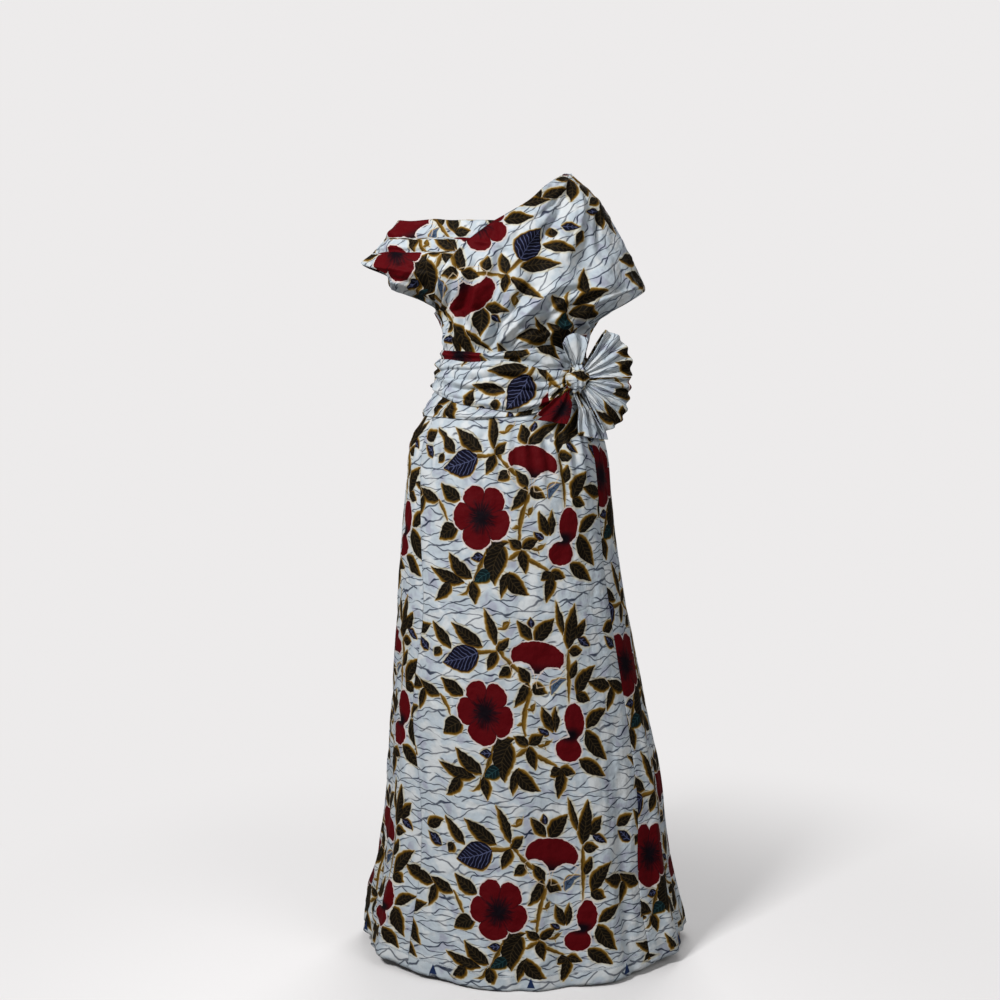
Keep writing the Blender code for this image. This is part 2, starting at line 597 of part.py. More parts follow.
def bodice_objects():
    """The drape and the band, front and back. Their rows run down, and their columns to the wearer's
    left in front and to the right behind, so that every face points out."""
    drape_heights = heights_through(WAIST_SEAM_Z + SEAM_GAP / 2, ROWS["drape"])
    band_heights = heights_through(BAND["bottom_z"], ROWS["band"])
    made = []
    for name, back, gather, folds in (("front", False, FRONT_GATHER, FRONT_FOLDS),
                                      ("back", True, BACK_GATHER, BACK_FOLDS)):
        step = -1 if back else 1
        drape = drape_panel(back, gather, folds, COLUMNS[f"drape_{name}"], drape_heights)
        band = band_panel(back, COLUMNS["band"], band_heights)
        made.append(sheet_object(f"drape_{name}", drape[::-1, ::step]))
        made.append(sheet_object(f"band_{name}", band[::-1, ::step]))
    return made


def sash_objects():
    return [sheet_object(wrap["name"], sash_wrap(wrap["name"], wrap["columns"], wrap["rows"]), closed=True)
            for wrap in named_rows(WRAP_COLUMNS, WRAPS)]


def bow_objects():
    made = [knot_solid("bow_knot")]
    for loop in named_rows(LOOP_COLUMNS, LOOPS):
        surface = loop_surface(loop, loop["pleats"] * COLUMNS["each_pleat"], ROWS["loop"])
        made.append(sheet_object(loop["name"], surface, inward=False))
    for tail in named_rows(TAIL_COLUMNS, TAILS):
        made.append(sheet_object(tail["name"], tail_surface(tail, COLUMNS["tail"], ROWS["tail"])))
    return made


def main():
    for obj in list(bpy.data.objects):
        bpy.data.objects.remove(obj)
    dress = bpy.data.collections.new("ankara_dress")
    bpy.context.scene.collection.children.link(dress)
    hung = bpy.data.objects.new("hung_from_shoulder", None)
    hung.location = tuple(-value for value in SHOULDER)
    dress.objects.link(hung)
    for obj in (*skirt_objects(), *bodice_objects(), *sash_objects(), *bow_objects()):
        dress.objects.link(obj)
        obj.parent = hung


main()
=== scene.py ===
import math

import bmesh
import bpy
import numpy as np
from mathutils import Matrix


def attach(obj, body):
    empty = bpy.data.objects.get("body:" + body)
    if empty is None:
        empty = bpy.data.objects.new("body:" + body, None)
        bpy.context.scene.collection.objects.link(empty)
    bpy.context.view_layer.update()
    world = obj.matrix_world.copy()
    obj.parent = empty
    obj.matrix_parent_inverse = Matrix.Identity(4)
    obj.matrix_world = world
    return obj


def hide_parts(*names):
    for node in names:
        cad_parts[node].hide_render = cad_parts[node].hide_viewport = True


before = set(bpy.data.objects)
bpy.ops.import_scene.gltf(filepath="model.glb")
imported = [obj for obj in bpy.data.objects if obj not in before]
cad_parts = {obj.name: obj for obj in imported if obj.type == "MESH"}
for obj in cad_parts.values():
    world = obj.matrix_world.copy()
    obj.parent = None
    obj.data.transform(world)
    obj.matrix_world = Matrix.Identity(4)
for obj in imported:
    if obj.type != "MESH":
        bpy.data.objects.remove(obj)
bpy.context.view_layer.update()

print("frame loaded:", len(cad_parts), "nodes")

# The cloth is worked out in the dress's own frame, in metres: z up from the hem, x to the wearer's left,
# -y to the front. Each finished piece is then hung so that the left shoulder is the origin.
dress = {
    "shoulder": (0.099, 0.0, 1.4635),
    "waistSeam": 1.090,
    "seamGap": 0.0003,
    "seamLean": 0.00035,
    "wall": 0.0011,         # the cotton with its hems; the solids under it are 1.5 mm
    "layer": 0.0026,
    "bandUnder": 0.0055,
    "mostSlope": 2.4,
}


def table(names, rows):
    # rows of values, as one array for each named column
    return {name: np.array(values) for name, values in zip(names.split(), zip(*rows))}


def rowsOf(names, rows):
    # rows of values, as a dictionary for each row
    return [dict(zip(names.split(), values)) for values in rows]


outline = table("z left right front back power", (
    (-0.02, -0.297, 0.336, 0.250, 0.240, 2.0),
    (0.05, -0.288, 0.322, 0.238, 0.230, 2.0),
    (0.12, -0.274, 0.304, 0.226, 0.220, 2.0),
    (0.20, -0.257, 0.291, 0.213, 0.208, 2.0),
    (0.30, -0.246, 0.281, 0.200, 0.196, 2.0),
    (0.45, -0.236, 0.252, 0.186, 0.183, 2.0),
    (0.60, -0.227, 0.222, 0.172, 0.172, 2.0),
    (0.75, -0.218, 0.196, 0.160, 0.163, 2.0),
    (0.88, -0.207, 0.181, 0.151, 0.154, 2.0),
    (0.96, -0.197, 0.168, 0.141, 0.142, 2.0),
    (1.01, -0.174, 0.152, 0.124, 0.116, 2.0),
    (1.06, -0.149, 0.142, 0.108, 0.094, 2.0),
    (1.13, -0.136, 0.134, 0.100, 0.084, 2.0),
    (1.165, -0.135, 0.138, 0.107, 0.087, 2.0),
    (1.19, -0.139, 0.162, 0.115, 0.093, 1.95),
    (1.21, -0.149, 0.208, 0.121, 0.098, 1.88),
    (1.23, -0.180, 0.238, 0.124, 0.102, 1.82),
    (1.252, -0.231, 0.244, 0.125, 0.105, 1.76),
    (1.275, -0.274, 0.235, 0.122, 0.107, 1.75),
    (1.296, -0.291, 0.225, 0.118, 0.108, 1.75),
    (1.32, -0.266, 0.212, 0.110, 0.106, 1.76),
    (1.35, -0.240, 0.197, 0.098, 0.101, 1.79),
    (1.385, -0.214, 0.176, 0.082, 0.091, 1.83),
    (1.41, -0.185, 0.158, 0.068, 0.078, 1.88),
    (1.435, -0.130, 0.138, 0.052, 0.060, 1.94),
    (1.450, -0.080, 0.121, 0.036, 0.041, 1.98),
    (1.460, -0.030, 0.110, 0.019, 0.021, 2.0),
    (1.466, 0.040, 0.104, 0.0006, 0.0006, 2.0),
))


def smoothOn(at, keys, values):
    # values between a table's rows, on a cubic that never overshoots: each row's slope is the harmonic
    # mean of the slopes beside it, or level where they turn
    at = np.clip(at, keys[0], keys[-1])
    steps = np.diff(keys)
    rates = np.diff(values) / steps
    before, after = rates[:-1], rates[1:]
    sameWay = before * after > 0
    inner = np.where(sameWay, 2 * before * after / np.where(sameWay, before + after, 1.0), 0.0)
    slopes = np.concatenate([[rates[0]], inner, [rates[-1]]])
    i = np.clip(np.searchsorted(keys, at, side="right") - 1, 0, len(steps) - 1)
    t = (at - keys[i]) / steps[i]
    rise = values[i + 1] - values[i]
    start, end = slopes[i] * steps[i], slopes[i + 1] * steps[i]
    return values[i] + t * (start + t * ((3 * rise - 2 * start - end) + t * (start + end - 2 * rise)))


def ease(low, high, at):
    # 0 at low and 1 at high, smoothly between; low may be the larger
    t = np.clip((at - low) / (high - low), 0, 1)
    return t * t * (3 - 2 * t)


def ridge(distance, halfWidth):
    # 1 on the line and 0 at the half width, a squared cosine between
    return np.cos(np.clip(distance / halfWidth, -1, 1) * math.pi / 2) ** 2


def ring(z, name):
    return smoothOn(z, outline["z"], outline[name])


def ringPoint(phi, z):
    # the point at angle phi round the bare outline at height z, and the level way out from it. Half an
    # oval in front and half behind, each |x / half| ** power + |y / depth| ** power = 1
    left, right, power = ring(z, "left"), ring(z, "right"), ring(z, "power")
    middle, half = (left + right) / 2, (right - left) / 2
    depth = np.where(np.cos(phi) > 0, ring(z, "front"), ring(z, "back"))
    across = np.sign(np.sin(phi)) * np.abs(np.sin(phi)) ** (2 / power)
    along = np.sign(np.cos(phi)) * np.abs(np.cos(phi)) ** (2 / power)
    point = np.stack([middle + half * across, -depth * along], -1)
    way = np.stack([np.sign(across) * np.abs(across) ** (power - 1) / half,
                    -np.sign(along) * np.abs(along) ** (power - 1) / depth], -1)
    return point, way / np.linalg.norm(way, axis=-1, keepdims=True)


def onRing(phi, z, out):
    # the point at angle phi and height z, stood off level by out, and by more where the outline slopes,
    # as the root of one and the slope squared
    point, way = ringPoint(phi, z)
    near = 0.001
    slope = ((ringPoint(phi, z + near)[0] - ringPoint(phi, z - near)[0]) * way).sum(-1) / (2 * near)
    level = np.minimum(np.sqrt(1 + slope ** 2), dress["mostSlope"])
    moved = point + (out * level)[..., None] * way
    return np.concatenate([moved, (z + 0 * phi)[..., None]], -1)


def angleAt(x, z):
    # the angle round the front half where the outline is x to the side
    left, right = ring(z, "left"), ring(z, "right")
    share = np.clip((x - (left + right) / 2) / ((right - left) / 2), -1, 1)
    return np.arcsin(np.sign(share) * np.abs(share) ** (ring(z, "power") / 2))


def halfGapAngle(z, lean=0.0):
    # the angle that half a seam's gap takes up at the side, and a lean away from it
    return ((dress["seamGap"] / 2 + lean) / ring(z, "front")) ** (ring(z, "power") / 2)


def ripple(s, t, seed, longest, height, upright):
    # soft unevenness of hung cloth: a sum of twelve plane waves of random way and phase, each four fifths
    # as long as the one before, the higher the longer, and running mostly upright by the share given
    draw = np.random.default_rng(seed)
    total = 0 * s * t
    for length in longest * 0.8 ** np.arange(12):
        turn = draw.normal(0.0, 1.0 - upright)
        phase = draw.uniform(0, 2 * math.pi)
        wave = np.sin(2 * math.pi * (s * math.cos(turn) + t * math.sin(turn)) / length + phase)
        total = total + height * (length / longest) * wave
    return total


creaseShape = {"startWidth": 0.6, "widening": 0.6, "starts": (-0.15, 0.1), "ends": (1.1, 0.6)}   # shares


def creased(x, z, lines):
    # soft ridges, or troughs where the height is negative, each a squared cosine across a line from one
    # point to another, bowed aside at its middle, wider as it goes and running out at both ends
    out = 0 * x * z
    for line in lines:
        wayX, wayZ = line["toX"] - line["fromX"], line["toZ"] - line["fromZ"]
        length = math.hypot(wayX, wayZ)
        along = ((x - line["fromX"]) * wayX + (z - line["fromZ"]) * wayZ) / length ** 2
        aside = ((x - line["fromX"]) * wayZ - (z - line["fromZ"]) * wayX) / length
        aside = aside + line["bow"] * (1 - (2 * along - 1) ** 2)
        wider = creaseShape["startWidth"] + creaseShape["widening"] * np.clip(along, 0, 1)
        ends = ease(*creaseShape["starts"], along) * ease(*creaseShape["ends"], along)
        out = out + line["height"] * ridge(aside, line["halfWidth"] * wider) * ends
    return out


def lengthsAlong(points, axis):
    # how far each point is along its row or column, from the first one
    steps = np.linalg.norm(np.diff(points, axis=axis), axis=-1)
    start = np.zeros_like(np.take(steps, [0], axis=axis))
    return np.concatenate([start, np.cumsum(steps, axis=axis)], axis=axis)


def fromMark(lengths, along, mark):
    # the same lengths counted from where along reaches mark in each row
    marks = np.broadcast_to(mark, (len(lengths), 1))[:, 0]
    starts = np.array([np.interp(at, row, length) for at, row, length in zip(marks, along, lengths)])
    beyond = marks - np.clip(marks, along[:, 0], along[:, -1])      # a mark past the cloth's edge
    return lengths - (starts + beyond)[:, None]


# The wax print. Its sizes are in metres, and the charts of one repeat in mm from its lower left corner:
# each leaf from its base to its tip, with its half width and how far its middle bends aside, and each
# flower's middle.
waxPrint = {
    "repeat": (0.372, 0.350),
    "leavesNear": 3,
    "leafSpread": 1.16,         # wax lets the dark ink run a little past the drawn edge
    "tipTaper": 0.38, "leastFull": 0.25, "pastEnds": 3.0,
}
flowers = {"main": (127, 157), "bell": (227, 256), "folded": (283, 116)}
leafLooks = {       # for each kind of leaf: its fill, its veins and its shaded side
    "leaf": ((0.0040, 0.0025, 0.0010), (0.030, 0.020, 0.008), (0.085, 0.042, 0.003)),
    "navy": ((0.0026, 0.0026, 0.0100), (0.060, 0.070, 0.140), (0.014, 0.008, 0.008)),
    "teal": ((0.0020, 0.0090, 0.0110), (0.012, 0.040, 0.045), (0.030, 0.026, 0.003)),
    "stem": ((0.0850, 0.0430, 0.0040), (0.012, 0.007, 0.003), (0.130, 0.068, 0.007)),
    "slate": ((0.0500, 0.0800, 0.1300), (0.015, 0.022, 0.045), (0.090, 0.120, 0.180)),
}
leafChart = {      # baseX, baseY, tipX, tipY, halfWidth, bend
    "leaf": (
        (127, 275, 69, 316, 11, 3), (67, 270, 30, 316, 8.5, 2), (152, 279, 132, 343, 7, -2),
        (153, 268, 176, 290, 7, 0), (153, 269, 134, 233, 8, 0), (44, 269, 31, 253, 7, 0),
        (179, 239, 156, 223, 8, 0), (217, 288, 192, 322, 8, 0), (222, 284, 260, 324, 11.5, 2),
        (275, 296, 264, 354, 5, 0), (284, 269, 299, 349, 10.5, 0), (297, 287, 322, 319, 8.5, 0),
        (284, 264, 312, 264, 8, 0), (285, 216, 300, 248, 7, 0), (297, 187, 338, 235, 10.5, 6),
        (372, 194, 321, 208, 9.5, 0), (296, 188, 323, 174, 8.5, 0), (312, 126, 359, 155, 9.5, 5),
        (310, 123, 346, 65, 12.5, -4), (291, 72, 338, 37, 10.5, 0), (379, 194, 362, 152, 7, 0),
        (88, 187, 44, 216, 10.5, 3), (83, 139, 43, 115, 13.5, -3), (40, 183, -6, 206, 8.5, 2),
        (111, 47, 65, 91, 11.5, 5), (96, 40, 28, 64, 9.5, 5), (68, 43, 35, 4, 8.5, 4),
        (112, 43, 115, 1, 8.5, 0), (136, 90, 177, 112, 9.5, 6), (170, 105, 151, 35, 16.5, -10),
        (179, 61, 162, 13, 7, -2), (176, 59, 213, 18, 11.5, -7), (208, 213, 180, 170, 8.5, 4),
        (216, 210, 242, 191, 8.5, -3), (211, 211, 191, 241, 8, 0), (201, 101, 177, 118, 8, 0),
        (201, 102, 232, 118, 8, 0), (201, 99, 208, 56, 8.5, 0), (250, 123, 232, 167, 8, 0),
        (254, 123, 257, 168, 6, 0), (254, 57, 281, 46, 8, 0), (257, 57, 235, 44, 8, 0),
        (259, 55, 244, 4, 8, 0), (-10, 294, 25, 309, 8.5, 0),
    ),
    "navy": (
        (120, 265, 48, 243, 20.5, 3), (217, 309, 216, 328, 5, 0), (303, 288, 329, 270, 6, 0),
        (133, 86, 109, 84, 7, 0), (241, 117, 223, 130, 5, 0), (19, 262, -7, 285, 7, 0),
    ),
    "teal": (
        (148, 62, 112, 40, 10.5, 0),
    ),
    "stem": (
        (163, 260, 197, 225, 2.5, 0), (217, 204, 197, 102, 2.5, -9), (202, 87, 254, 57, 2.5, 0),
        (283, 269, 281, 177, 2.5, 0), (98, 268, 154, 269, 2.5, -4), (154, 282, 165, 256, 3, 0),
        (135, 95, 112, 44, 3, 2), (177, 80, 202, 98, 2.5, 0), (106, 40, 87, 16, 2.5, 6),
        (40, 185, 59, 148, 2, 2), (155, 308, 177, 320, 2, -6), (177, 321, 164, 310, 2, -4),
        (206, 163, 220, 173, 2, -5), (220, 174, 213, 160, 2, -4), (216, 101, 243, 105, 2, -5),
        (243, 106, 231, 94, 2, -5), (185, 136, 197, 148, 2, -4),
    ),
    "slate": (
        (250, 189, 279, 216, 6, 8),
    ),
}
leaves = table("baseX baseY tipX tipY halfWidth bend kind", [
    (*leaf, kind) for kind, name in enumerate(leafLooks) for leaf in leafChart[name]])


def inRepeat(point, centres):
    # how far each point is from each centre in the repeat beside it, and how far off that repeat is
    away, repeat = point[:, None, :] - centres, np.array(waxPrint["repeat"])
    repeats = np.round(away / repeat) * repeat
    return away - repeats, repeats


def nearestLeaves(point):
    # for each point of the print, the leaves that it lies in or nearest to: the place and turn of each,
    # its shape, and its kind. A leaf's edge is where |across + bend (u u - 1)| = half width (1 - u u)
    # (1 - tip taper u), u along it from -1 at its base to 1 at its tip
    mm = 0.001
    base = np.stack([leaves["baseX"], leaves["baseY"]], -1) * mm
    way = np.stack([leaves["tipX"], leaves["tipY"]], -1) * mm - base
    halfLength, turn = np.linalg.norm(way, axis=-1) / 2, np.arctan2(way[:, 1], way[:, 0])
    halfWidth, bend = leaves["halfWidth"] * mm * waxPrint["leafSpread"], leaves["bend"] * mm
    centre = base + way / 2
    away, repeats = inRepeat(point, centre)
    u = (away[..., 0] * np.cos(turn) + away[..., 1] * np.sin(turn)) / halfLength
    across = away[..., 1] * np.cos(turn) - away[..., 0] * np.sin(turn)
    q = u * u - 1
    full = np.maximum(1 - waxPrint["tipTaper"] * u, waxPrint["leastFull"])
    depth = np.abs(across + bend * q) + np.maximum(q, waxPrint["pastEnds"] * q) * full * halfWidth
    nearest = np.argsort(depth, axis=1)[:, :waxPrint["leavesNear"]]
    at = centre[nearest] + np.take_along_axis(repeats, nearest[..., None], 1)
    place = np.concatenate([at, turn[nearest][..., None]], -1)
    shape = np.stack([halfLength[nearest], halfWidth[nearest], bend[nearest]], -1)
    return place, shape, leaves["kind"][nearest]


def nearestFlower(point):
    # the middle of the flower that is nearest, and which of the three it is
    centres = np.array(list(flowers.values())) * 0.001
    away, repeats = inRepeat(point, centres)
    nearest = np.argmin(np.linalg.norm(away, axis=-1), axis=1)
    return np.column_stack([centres[nearest] + repeats[np.arange(len(point)), nearest], nearest])


def drawPrint(mesh, middle):
    # what the print's shader needs to know on each face, from where its middle lies on the print
    leafPlace, leafShape, leafKind = nearestLeaves(middle)
    fields = {"flower": nearestFlower(middle), "leafKinds": leafKind}
    for i in range(waxPrint["leavesNear"]):
        fields[f"leafPlace{i}"] = leafPlace[:, i]
        fields[f"leafShape{i}"] = leafShape[:, i]
    for field, values in fields.items():
        layer = mesh.attributes.new(field, "FLOAT_VECTOR", "FACE")
        layer.data.foreach_set("vector", values.astype(np.float32).ravel())


def newObject(name, data):
    obj = bpy.data.objects.new(name, data)
    bpy.context.scene.collection.objects.link(obj)
    return obj


def clothPiece(node, grid, place, held=None, fromHem=1.0, closed=False, offset=-1.0):
    # the cloth that stands in for one node: a sheet through a grid of points, its rows going down and its
    # columns round. place is each point's place on the flat print, with one column more where the sheet
    # closes on itself. With nothing said of how it is held, it is a padded form, shut at both ends
    rows, columns = grid.shape[:2]
    index = np.arange(rows * columns).reshape(rows, columns)
    here = index if closed else index[:, :-1]
    beside = np.roll(index, -1, axis=1) if closed else index[:, 1:]
    quads = np.stack([here[1:], beside[1:], beside[:-1], here[:-1]], -1).reshape(-1, 4)
    corners = np.stack([place[1:, :-1], place[1:, 1:], place[:-1, 1:], place[:-1, :-1]], 2).reshape(-1, 4, 2)
    name = f"{node}_cloth"
    mesh = bpy.data.meshes.new(name)
    mesh.from_pydata((grid - dress["shoulder"]).reshape(-1, 3).tolist(), [], quads.tolist())
    mesh.uv_layers.new(name="cloth").data.foreach_set("uv", corners.astype(np.float32).ravel())
    drawPrint(mesh, corners.mean(axis=1))
    hem = mesh.attributes.new("fromHem", "FLOAT", "POINT")
    hem.data.foreach_set("value", (fromHem + 0 * grid[..., 0]).astype(np.float32).ravel())
    if not held:
        bm = bmesh.new()
        bm.from_mesh(mesh)
        bmesh.ops.remove_doubles(bm, verts=bm.verts, dist=1e-6)
        bm.to_mesh(mesh)
        bm.free()
    mesh.shade_smooth()
    mesh.materials.append(fabric)
    obj = newObject(name, mesh)
    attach(obj, "root")
    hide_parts(node)
    if not held:
        return
    wall = obj.modifiers.new("wall", "SOLIDIFY")
    wall.thickness = dress["wall"]
    wall.offset = offset
    wall.use_even_offset = True
    wall.use_quality_normals = True
    whole = np.concatenate([grid, grid[:, :1]], axis=1) if closed else grid
    cutArea(whole)


def cutSize(grid):
    # the width and length that the cloth was cut to
    return tuple(float(lengthsAlong(grid, axis).max()) for axis in (1, 0))


def cutArea(grid):
    # the area of the cut, as the sum of the grid's cells, each half the product of its diagonals
    falling, rising = grid[1:, 1:] - grid[:-1, :-1], grid[1:, :-1] - grid[:-1, 1:]
    area = np.linalg.norm(np.cross(falling, rising), axis=-1).sum() / 2
    return float(min(area, math.prod(cutSize(grid))))


def turned(s, t, degrees, tilePoint):
    # cloth lengths s and t turned into places on the print, so that tilePoint of the repeat (in mm) falls
    # where both are 0, and the print is turned on the cloth by the angle
    cos, sin = math.cos(math.radians(degrees)), math.sin(math.radians(degrees))
    return np.stack([s * cos + t * sin + tilePoint[0] / 1000, t * cos - s * sin + tilePoint[1] / 1000], -1)


# Shader nodes

class Wire:
    # a value in a shader: the socket that gives it. Sums on it add math nodes to the tree that it is in
    def __init__(self, socket):
        self.socket = socket

    def __add__(self, other):
        return calc("ADD", self, other)

    def __sub__(self, other):
        return calc("SUBTRACT", self, other)

    def __rsub__(self, other):
        return calc("SUBTRACT", other, self)

    def __mul__(self, other):
        return calc("MULTIPLY", self, other)

    def __truediv__(self, other):
        return calc("DIVIDE", self, other)


def plug(value, socket):
    if isinstance(value, Wire):
        socket.id_data.links.new(value.socket, socket)
    elif socket.type == "RGBA":
        socket.default_value = (*value, 1.0)
    else:
        socket.default_value = value


def newNode(kind, *values, tree=None, **settings):
    # a node with its inputs plugged in order, in the tree of the first wire among them or in the one given
    tree = tree or next(value.socket.id_data for value in values if isinstance(value, Wire))
    node = tree.nodes.new(f"ShaderNode{kind}")
    for name, setting in settings.items():
        setattr(node, name, setting)
    for value, socket in zip(values, node.inputs):
        plug(value, socket)
    return node


def source(tree, kind, output, **settings):
    return Wire(newNode(kind, tree=tree, **settings).outputs[output])


def calc(operation, *values):
    # a math node, or a vector math node where any of the values is a vector or a colour
    onVectors = any(value.socket.type != "VALUE" if isinstance(value, Wire) else isinstance(value, tuple)
                    for value in values)
    node = newNode("VectorMath" if onVectors else "Math", *values, operation=operation)
    return Wire(node.outputs["Vector" if onVectors and operation not in ("LENGTH", "DISTANCE") else "Value"])


def joined(*values):
    return Wire(newNode("CombineXYZ", *values).outputs[0])


def parted(value):
    return [Wire(socket) for socket in newNode("SeparateXYZ", value).outputs]


def blend(share, first, second, kind="RGBA"):
    node = newNode("Mix", share, data_type=kind)
    last = {"RGBA": "Color", "VECTOR": "Vector", "FLOAT": "Float"}[kind]
    sockets = {socket.identifier: socket for socket in (*node.inputs, *node.outputs)}
    plug(first, sockets[f"A_{last}"])
    plug(second, sockets[f"B_{last}"])
    return Wire(sockets[f"Result_{last}"])


def step(value, low, high):
    # 0 at low and 1 at high, smoothly between; low may be the larger
    return Wire(newNode("MapRange", value, low, high, interpolation_type="SMOOTHSTEP").outputs["Result"])


def spun(value, angle):
    node = newNode("VectorRotate", value, rotation_type="Z_AXIS")
    plug(angle, node.inputs["Angle"])
    return Wire(node.outputs[0])


def noise(place, scale, detail, output="Fac"):
    node = newNode("TexNoise", place, noise_dimensions="2D")
    node.inputs["Scale"].default_value = scale
    node.inputs["Detail"].default_value = detail
    return Wire(node.outputs[output])


def stops(value, colours):
    # one colour for each whole number that value may be
    node = newNode("ValToRGB", value * (1 / len(colours)) + 0.5 / len(colours))
    node.color_ramp.interpolation = "CONSTANT"
    elements = node.color_ramp.elements
    while len(elements) < len(colours):
        elements.new(1.0)
    for i, colour in enumerate(colours):
        elements[i].position = i / len(colours)
        elements[i].color = (*colour, 1.0)
    return Wire(node.outputs[0])


def leafGroup():
    # one leaf laid over those before it: Depth is the distance inside its edge (negative) or outside,
    # Look is how far along it, how far across it, and its kind. Its edge is as nearestLeaves has it
    tree = bpy.data.node_groups.new("leafOver", "ShaderNodeTree")
    for way, sockets in (("INPUT", ("Point Vector", "Place Vector", "Shape Vector", "Kind Float",
                                    "Depth Float", "Look Vector")),
                         ("OUTPUT", ("Depth Float", "Look Vector"))):
        for name, kind in (socket.split() for socket in sockets):
            tree.interface.new_socket(name, in_out=way, socket_type=f"NodeSocket{kind}")
    given = {socket.name: Wire(socket) for socket in tree.nodes.new("NodeGroupInput").outputs}
    out = tree.nodes.new("NodeGroupOutput").inputs
    x, y, turn = parted(given["Place"])
    halfLength, halfWidth, bend = parted(given["Shape"])
    along, across, _ = parted(spun(given["Point"] - joined(x, y, 0.0), turn * -1.0))
    u = along / halfLength
    q = u * u - 1.0
    bent = q * bend + across
    full = calc("MAXIMUM", u * -waxPrint["tipTaper"] + 1.0, waxPrint["leastFull"])
    wide = calc("MAXIMUM", q, q * waxPrint["pastEnds"]) * full
    depth = wide * halfWidth + calc("ABSOLUTE", bent)
    nearer = calc("LESS_THAN", depth, given["Depth"])
    plug(calc("MINIMUM", depth, given["Depth"]), out["Depth"])
    plug(blend(nearer, given["Look"], joined(along, bent, given["Kind"]), "VECTOR"), out["Look"])
    return tree


inks = {
    "gold": (0.175, 0.090, 0.011),
    "cream": (0.54, 0.47, 0.28),
    "crimson": (0.078, 0.0004, 0.0022),
    "crimsonDark": (0.003, 0.0008, 0.003),
    "flowerHalo": (0.55, 0.47, 0.44),
    "paleBlue": (0.42, 0.475, 0.52),
    "nearWhite": (0.545, 0.57, 0.585),
    "lilac": (0.33, 0.35, 0.42),
    "crackle": (0.016, 0.022, 0.045),
    "cupLine": (0.60, 0.47, 0.32),
    "mark": (0.010, 0.022, 0.070),
}
leafEdges = {       # each pair is where it starts and where it is full, in metres out from the leaf's edge
    "halo": (0.0052, 0.0022), "gold": (0.0014, -0.0010), "fill": (0.0006, -0.0006),
    "shade": (-0.0042, -0.0008), "veins": (-0.0018, -0.0035),
    "haloStrength": 0.45, "goldWider": 0.0022,
    "veinEvery": 0.0042, "veinSlant": -0.9, "vein": (0.0013, 0.0003), "midVein": (0.0010, 0.0003),
}


def leavesOver(depth, look, ground):
    # the leaves over a ground: a cream halo, gold that is wider beside one edge, then the fill with its
    # shaded side and its veins, a comb that slants out from the middle one
    edges = leafEdges
    along, across, kind = parted(look)
    fill, veins, shade = (stops(kind, colours) for colours in zip(*leafLooks.values()))
    aside, side = calc("ABSOLUTE", across), calc("GREATER_THAN", across, 0.0)
    comb = calc("PINGPONG", aside * edges["veinSlant"] + along, edges["veinEvery"])
    vein = calc("MAXIMUM", step(comb, *edges["vein"]), step(aside, *edges["midVein"]))
    leaf = blend(vein * step(depth, *edges["veins"]), fill, veins)
    leaf = blend(step(depth, *edges["shade"]) * side, leaf, shade)
    halo = step(depth, *edges["halo"]) * (side * edges["haloStrength"] + edges["haloStrength"])
    colour = blend(halo, ground, inks["cream"])
    gold = step(depth - side * edges["goldWider"], *edges["gold"])
    return blend(step(depth, *edges["fill"]), blend(gold, colour, inks["gold"]), leaf)


net = {
    "wave": (15.0, 2.5), "pushed": (0.030, 0.042, 0.0),
    "lines": ((52.0, 9.0, 0.0), (43.0, -15.0, 3.0)),      # how many to a metre up and across, and a shift
    "line": (0.084, 0.030), "breakSize": 26.0, "breaks": (0.26, 0.42),
    "patchSize": 30.0, "blue": (0.35, 0.52), "lilac": (0.55, 0.70), "strength": (0.7, 0.5),
}


def waxGround(point):
    # pale ground, in patches, under the fine dark net that cracked wax leaves: two families of long lines
    # that cross at a low angle, on a place that a slow noise has pushed about, each broken here and there
    warped = (noise(point, *net["wave"], "Color") - (0.5, 0.5, 0.5)) * net["pushed"] + point
    across, upward, _ = parted(warped)
    line = 0.0
    for rising, along, shift in net["lines"]:
        away = calc("PINGPONG", across * along + upward * rising, 0.5)
        breaks = noise(point + (shift, shift, 0.0), net["breakSize"], 1.0)
        line = calc("MAXIMUM", line, step(away, *net["line"]) * step(breaks, *net["breaks"]))
    patches = noise(warped, net["patchSize"], 2.0)
    ground = blend(step(patches, *net["blue"]), inks["nearWhite"], inks["paleBlue"])
    ground = blend(step(patches, *net["lilac"]), ground, inks["lilac"])
    byPatch, always = net["strength"]
    return blend(line * (patches * byPatch + always), ground, inks["crackle"])


mainShape = {
    "squash": (1.06, 0.94, 1.0), "radius": 0.0385, "petals": 5, "petal": 0.0175, "bluntness": 0.42,
    "turn": -0.32, "uneven": 0.192, "unevenTurn": -1.885,
    "streaks": (9.0, 60.0), "streakLength": 0.032, "dark": (0.035, 0.010), "notch": (0.45, 0.25),
    "notchDark": 0.5,
}
bellShape = {       # each cup by its middle and its radius
    "tilt": 9.0, "squash": (1.0, 1.7, 0.0), "radius": 0.049, "dark": (-0.004, -0.030),
    "cups": (((-0.028, -0.038, 0.0), 0.027), ((0.033, -0.043, 0.0), 0.030)),
    "lineRadius": 0.054, "line": (0.0012, 0.0004), "lineStrength": 0.6,
}
foldedShape = {     # each lobe by its middle, its squash and its radius
    "lobes": (((0.007, 0.025, 0.0), (1.55, 0.92, 0.0), 0.029),
              ((-0.009, -0.026, 0.0), (1.08, 1.20, 0.0), 0.026)),
    "joint": 0.014, "throat": ((-0.004, 0.0, 0.0), (0.8, 1.3, 0.0), 0.0), "dark": (0.024, 0.006),
}
flowerEdges = {"halo": (0.0036, 0.0012), "fill": (0.0003, -0.0003)}


def oval(away, middle, squash, radius):
    return calc("LENGTH", (away - middle) * squash) - radius


